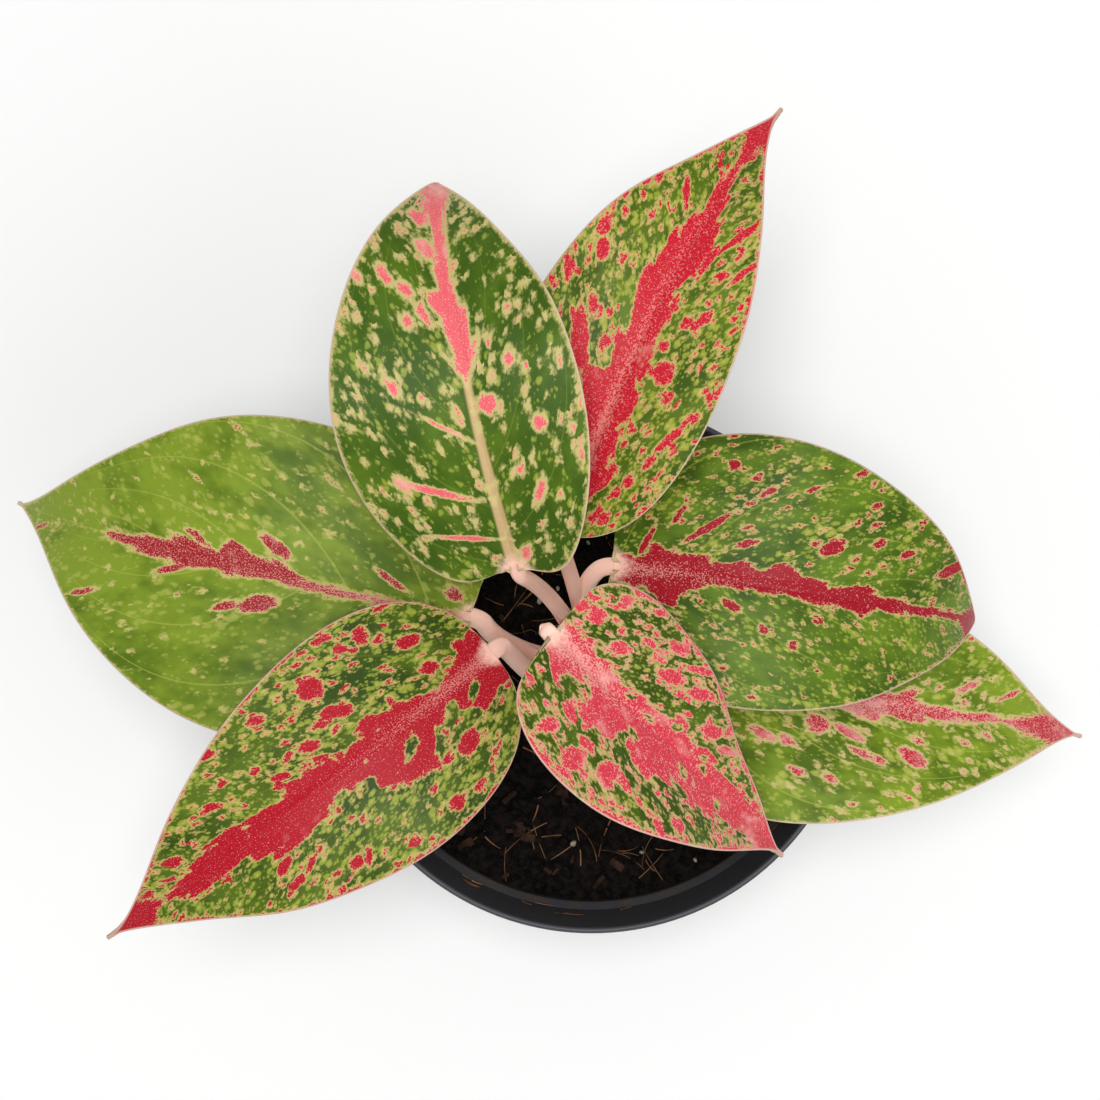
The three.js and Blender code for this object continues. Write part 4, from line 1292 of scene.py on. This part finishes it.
def flame_field(marking, along, across):
    """How far a place lies inside the band along the midrib, and how ragged its edge is there."""
    least_ragged, most_ragged = 0.5, 8.0
    stations = np.array(marking["flame"])
    left = np.interp(along, stations[:, 0], stations[:, 1])
    right = np.interp(along, stations[:, 0], stations[:, 2])
    reach = np.where(across > 0, left, right)
    band = reach - np.abs(across)
    if marking["islands"]:
        band = np.minimum(band, -blot_field(marking["islands"], along, across))
    return band, np.clip(1.5 + 0.9 * reach, least_ragged, most_ragged)


def make_blade(name, sizes, seed):
    leaf = HABITS[name]
    maker = BladeMaker(leaf, sizes)
    skin = leaf_finish(name, LOOKS[name], seed)
    piece = new_piece(f"{name}_blade", blade_grid(sizes), skin, f"blade_{name}")
    mesh = piece.data
    grid = read_points(mesh)
    u = (grid[:, 0] + 1) / 2
    t = u ** BASE_ROWS / (u ** BASE_ROWS + (1 - u) ** TIP_ROWS)
    v = np.clip(grid[:, 1], -1, 1)
    underside = grid[:, 2] < -0.5
    points = maker.upper(t, v)
    drop = maker.normal(t, v) * maker.depth(t, v, sizes)[:, None]
    write_points(mesh, (points - drop * underside[:, None]) * MM)

    along, across = leaf_coordinates(leaf, t, v)
    flame, ragged = flame_field(MARKINGS[name], along, across)
    spots = blot_field(MARKINGS[name]["spots"], along, across)
    edge = (1 - np.abs(v)) * half_width_at(leaf, t, np.sign(v))
    write_attribute(mesh, "place", along, across, underside)
    write_attribute(mesh, "marks", flame, ragged, spots)
    write_attribute(mesh, "edges", edge, maker.phase(t, v), t)


class PLANT_OT_blades(bpy.types.Operator):
    """Shapes and colours the seven blades"""

    bl_idname = "plant.blades"
    bl_label = "Blades"

    def execute(self, context):
        for seed, name in enumerate(HABITS):
            make_blade(name, context.scene.plant_blades, 17.0 * (seed + 1))
        return {"FINISHED"}


# Petioles


def bezier(points, share):
    """A point of the Bezier curve through the control points, and the way ahead there."""
    points = [np.asarray(p, float) for p in points]
    while len(points) > 2:
        points = [p + (q - p) * share[:, None] for p, q in zip(points, points[1:])]
    ahead = points[1] - points[0]
    return points[0] + ahead * share[:, None], ahead / np.linalg.norm(ahead, axis=-1, keepdims=True)


def petiole_route(leaf):
    """Control points of the rise from the stem and of the bend below the blade."""
    foot = np.array([*CROWN, leaf["start"]])
    curve = midrib_curve(leaf)
    ahead = midrib_tangent(leaf, np.array(0.0))
    arrive = direction(*leaf["arrive"])
    middle = -(CAD_THICKNESS + KEEL_DEPTH) / 2
    root = blade_point(leaf, curve, np.array(0.0), np.array(0.0), np.array(middle))
    reach = leaf.get("bend", BEND_REACH)
    corner = root - ahead * (reach + FIT_GAP)
    bend = corner - arrive * reach
    span = np.linalg.norm(bend - foot)
    low = foot + direction(leaf["leave"], 90 - leaf["lean"]) * span * LEAVE_PULL
    high = bend - arrive * span * ARRIVE_PULL
    return [foot, low, high, bend], [bend, corner, root + ahead * ROOT_OVERLAP]


def petiole_radius(leaf, share):
    """Wide where it sheathes the stem, slim below the blade, in millimetres."""
    sheath = smooth_share(1 - share / SHEATH_SHARE)
    return leaf["stalk"] + PETIOLE_SWELL * (1 - share) + SHEATH_SWELL * sheath


def petiole_rod(steps):
    """A unit rod along z with rings to move on to the route."""
    bm = bmesh.new()
    middle = Matrix.Translation((0, 0, 0.5))
    bmesh.ops.create_cone(
        bm, cap_ends=True, segments=PETIOLE_SIDES, radius1=1.0, radius2=1.0, depth=1.0, matrix=middle
    )
    upright = [edge for edge in bm.edges if abs(edge.verts[0].co.z - edge.verts[1].co.z) > 0.5]
    bmesh.ops.subdivide_edges(bm, edges=upright, cuts=steps - 1)
    return bm


def petiole_centres(leaf, share):
    """Middle points and directions for shares: up the rise, then round the bend."""
    rise, bend = petiole_route(leaf)
    up_point, up_ahead = bezier(rise, np.clip(share / BEND_SHARE, 0, 1))
    bend_point, bend_ahead = bezier(bend, np.clip((share - BEND_SHARE) / (1 - BEND_SHARE), 0, 1))
    rising = (share <= BEND_SHARE)[:, None]
    return np.where(rising, up_point, bend_point), np.where(rising, up_ahead, bend_ahead)


def make_petiole(name, skin):
    leaf = HABITS[name]
    piece = new_piece(f"{name}_petiole", petiole_rod(PETIOLE_RINGS), skin, f"petiole_{name}")
    mesh = piece.data
    rod = read_points(mesh)
    share = 1 - (1 - np.clip(rod[:, 2], 0, 1)) ** END_RINGS
    angle = np.arctan2(rod[:, 1], rod[:, 0])
    centre, ahead = petiole_centres(leaf, share)
    side = np.cross([0.0, 0.0, 1.0], ahead)
    side /= np.linalg.norm(side, axis=-1, keepdims=True)
    over = np.cross(ahead, side)
    radius = petiole_radius(leaf, share) * np.hypot(rod[:, 0], rod[:, 1])
    channel = CHANNEL_DEPTH * np.exp(-(((angle - math.pi / 2) / CHANNEL_SPREAD) ** 2))
    flesh = radius * (1 - smooth_share(1 - share / CHANNEL_END) * channel)
    across = (flesh * np.cos(angle))[:, None] * side
    near_end = smooth_share((share - END_START) / (1 - END_START))
    flatness = PETIOLE_FLATNESS + (END_FLATNESS - PETIOLE_FLATNESS) * near_end
    upward = (flesh * flatness * np.sin(angle))[:, None] * over
    write_points(mesh, (centre + across + upward) * MM)
    rise = np.linalg.norm(np.subtract(leaf["base"], (*CROWN, leaf["start"])))
    write_attribute(mesh, "stalk", share, angle, share * rise)


class PLANT_OT_petioles(bpy.types.Operator):
    """Draws each petiole from the stem to its blade"""

    bl_idname = "plant.petioles"
    bl_label = "Petioles"

    def execute(self, context):
        stalk = context.scene.plant_stalks
        skin = petiole_finish(stalk)
        for name in HABITS:
            make_petiole(name, skin)
        return {"FINISHED"}


# Stage

LAMP_AIM = Vector((0.0, 0.0, 0.1))
LAMPS = (("key", (-0.05, 0.10, 2.2), 0.7, 1.0), ("fill", (0.9, -0.6, 1.9), 1.4, 0.3))


def lay_floor(stage):
    bm = bmesh.new()
    bmesh.ops.create_grid(bm, x_segments=1, y_segments=1, size=stage.floor_size / 2)
    floor = add_object("floor", mesh_of("floor", bm))
    skin = Finish("floor")
    floor.data.materials.append(skin.finish((*stage.floor_tint, 1.0), roughness=0.9))


def hang_lamp(name, place, size, power):
    data = bpy.data.lights.new(name, "AREA")
    data.shape = "DISK"
    data.size = size
    data.energy = power
    lamp = add_object(name, data)
    lamp.location = place
    lamp.rotation_mode = "QUATERNION"
    lamp.rotation_quaternion = (LAMP_AIM - Vector(place)).to_track_quat("-Z", "Y")


def even_sky(strength):
    world = bpy.data.worlds.new("studio")
    world.use_nodes = True
    background = world.node_tree.nodes["Background"]
    background.inputs["Color"].default_value = (1.0, 1.0, 1.0, 1.0)
    background.inputs["Strength"].default_value = strength
    bpy.context.scene.world = world


def place_camera(stage):
    data = bpy.data.cameras.new("camera")
    data.lens = stage.camera_lens
    data.sensor_width = 36.0
    data.clip_start, data.clip_end = 0.01, 20.0
    camera = add_object("camera", data)
    camera.location = stage.camera_place
    bpy.context.scene.camera = camera


class PLANT_OT_stage(bpy.types.Operator):
    """Lays the floor, hangs the lamps and places the camera"""

    bl_idname = "plant.stage"
    bl_label = "Stage"

    def execute(self, context):
        stage = context.scene.plant_stage
        lay_floor(stage)
        for name, place, size, share in LAMPS:
            hang_lamp(name, place, size, stage.lamp_power * share)
        even_sky(stage.sky)
        place_camera(stage)
        context.scene.view_settings.view_transform = "Standard"
        return {"FINISHED"}


# Panel, registration and the build


STEPS = (
    PLANT_OT_pot, PLANT_OT_potting_mix, PLANT_OT_cane, PLANT_OT_petioles, PLANT_OT_blades, PLANT_OT_stage,
)

GROUPS = {
    "plant_pot": PotSizes,
    "plant_mix": MixSizes,
    "plant_stalks": StalkSizes,
    "plant_blades": BladeSizes,
    "plant_stage": StageSizes,
}


class PLANT_PT_panel(bpy.types.Panel):
    """Lists the steps that build the plant, and their sizes"""

    bl_idname = "PLANT_PT_panel"
    bl_label = "Potted Plant"
    bl_space_type = "VIEW_3D"
    bl_region_type = "UI"
    bl_category = "Potted Plant"

    def draw(self, context):
        for step in STEPS:
            self.layout.operator(step.bl_idname)
        for name, group in GROUPS.items():
            box = self.layout.box()
            for prop in group.__annotations__:
                box.prop(getattr(context.scene, name), prop)


def register():
    for group in GROUPS.values():
        bpy.utils.register_class(group)
    for step in (*STEPS, PLANT_PT_panel):
        bpy.utils.register_class(step)
    for name, group in GROUPS.items():
        setattr(bpy.types.Scene, name, PointerProperty(type=group))


def unregister():
    for name in GROUPS:
        delattr(bpy.types.Scene, name)
    for step in (PLANT_PT_panel, *reversed(STEPS)):
        bpy.utils.unregister_class(step)
    for group in reversed(GROUPS.values()):
        bpy.utils.unregister_class(group)


def main():
    register()
    for step in STEPS:
        family, action = step.bl_idname.split(".")
        getattr(getattr(bpy.ops, family), action)()


if __name__ == "__main__":
    main()
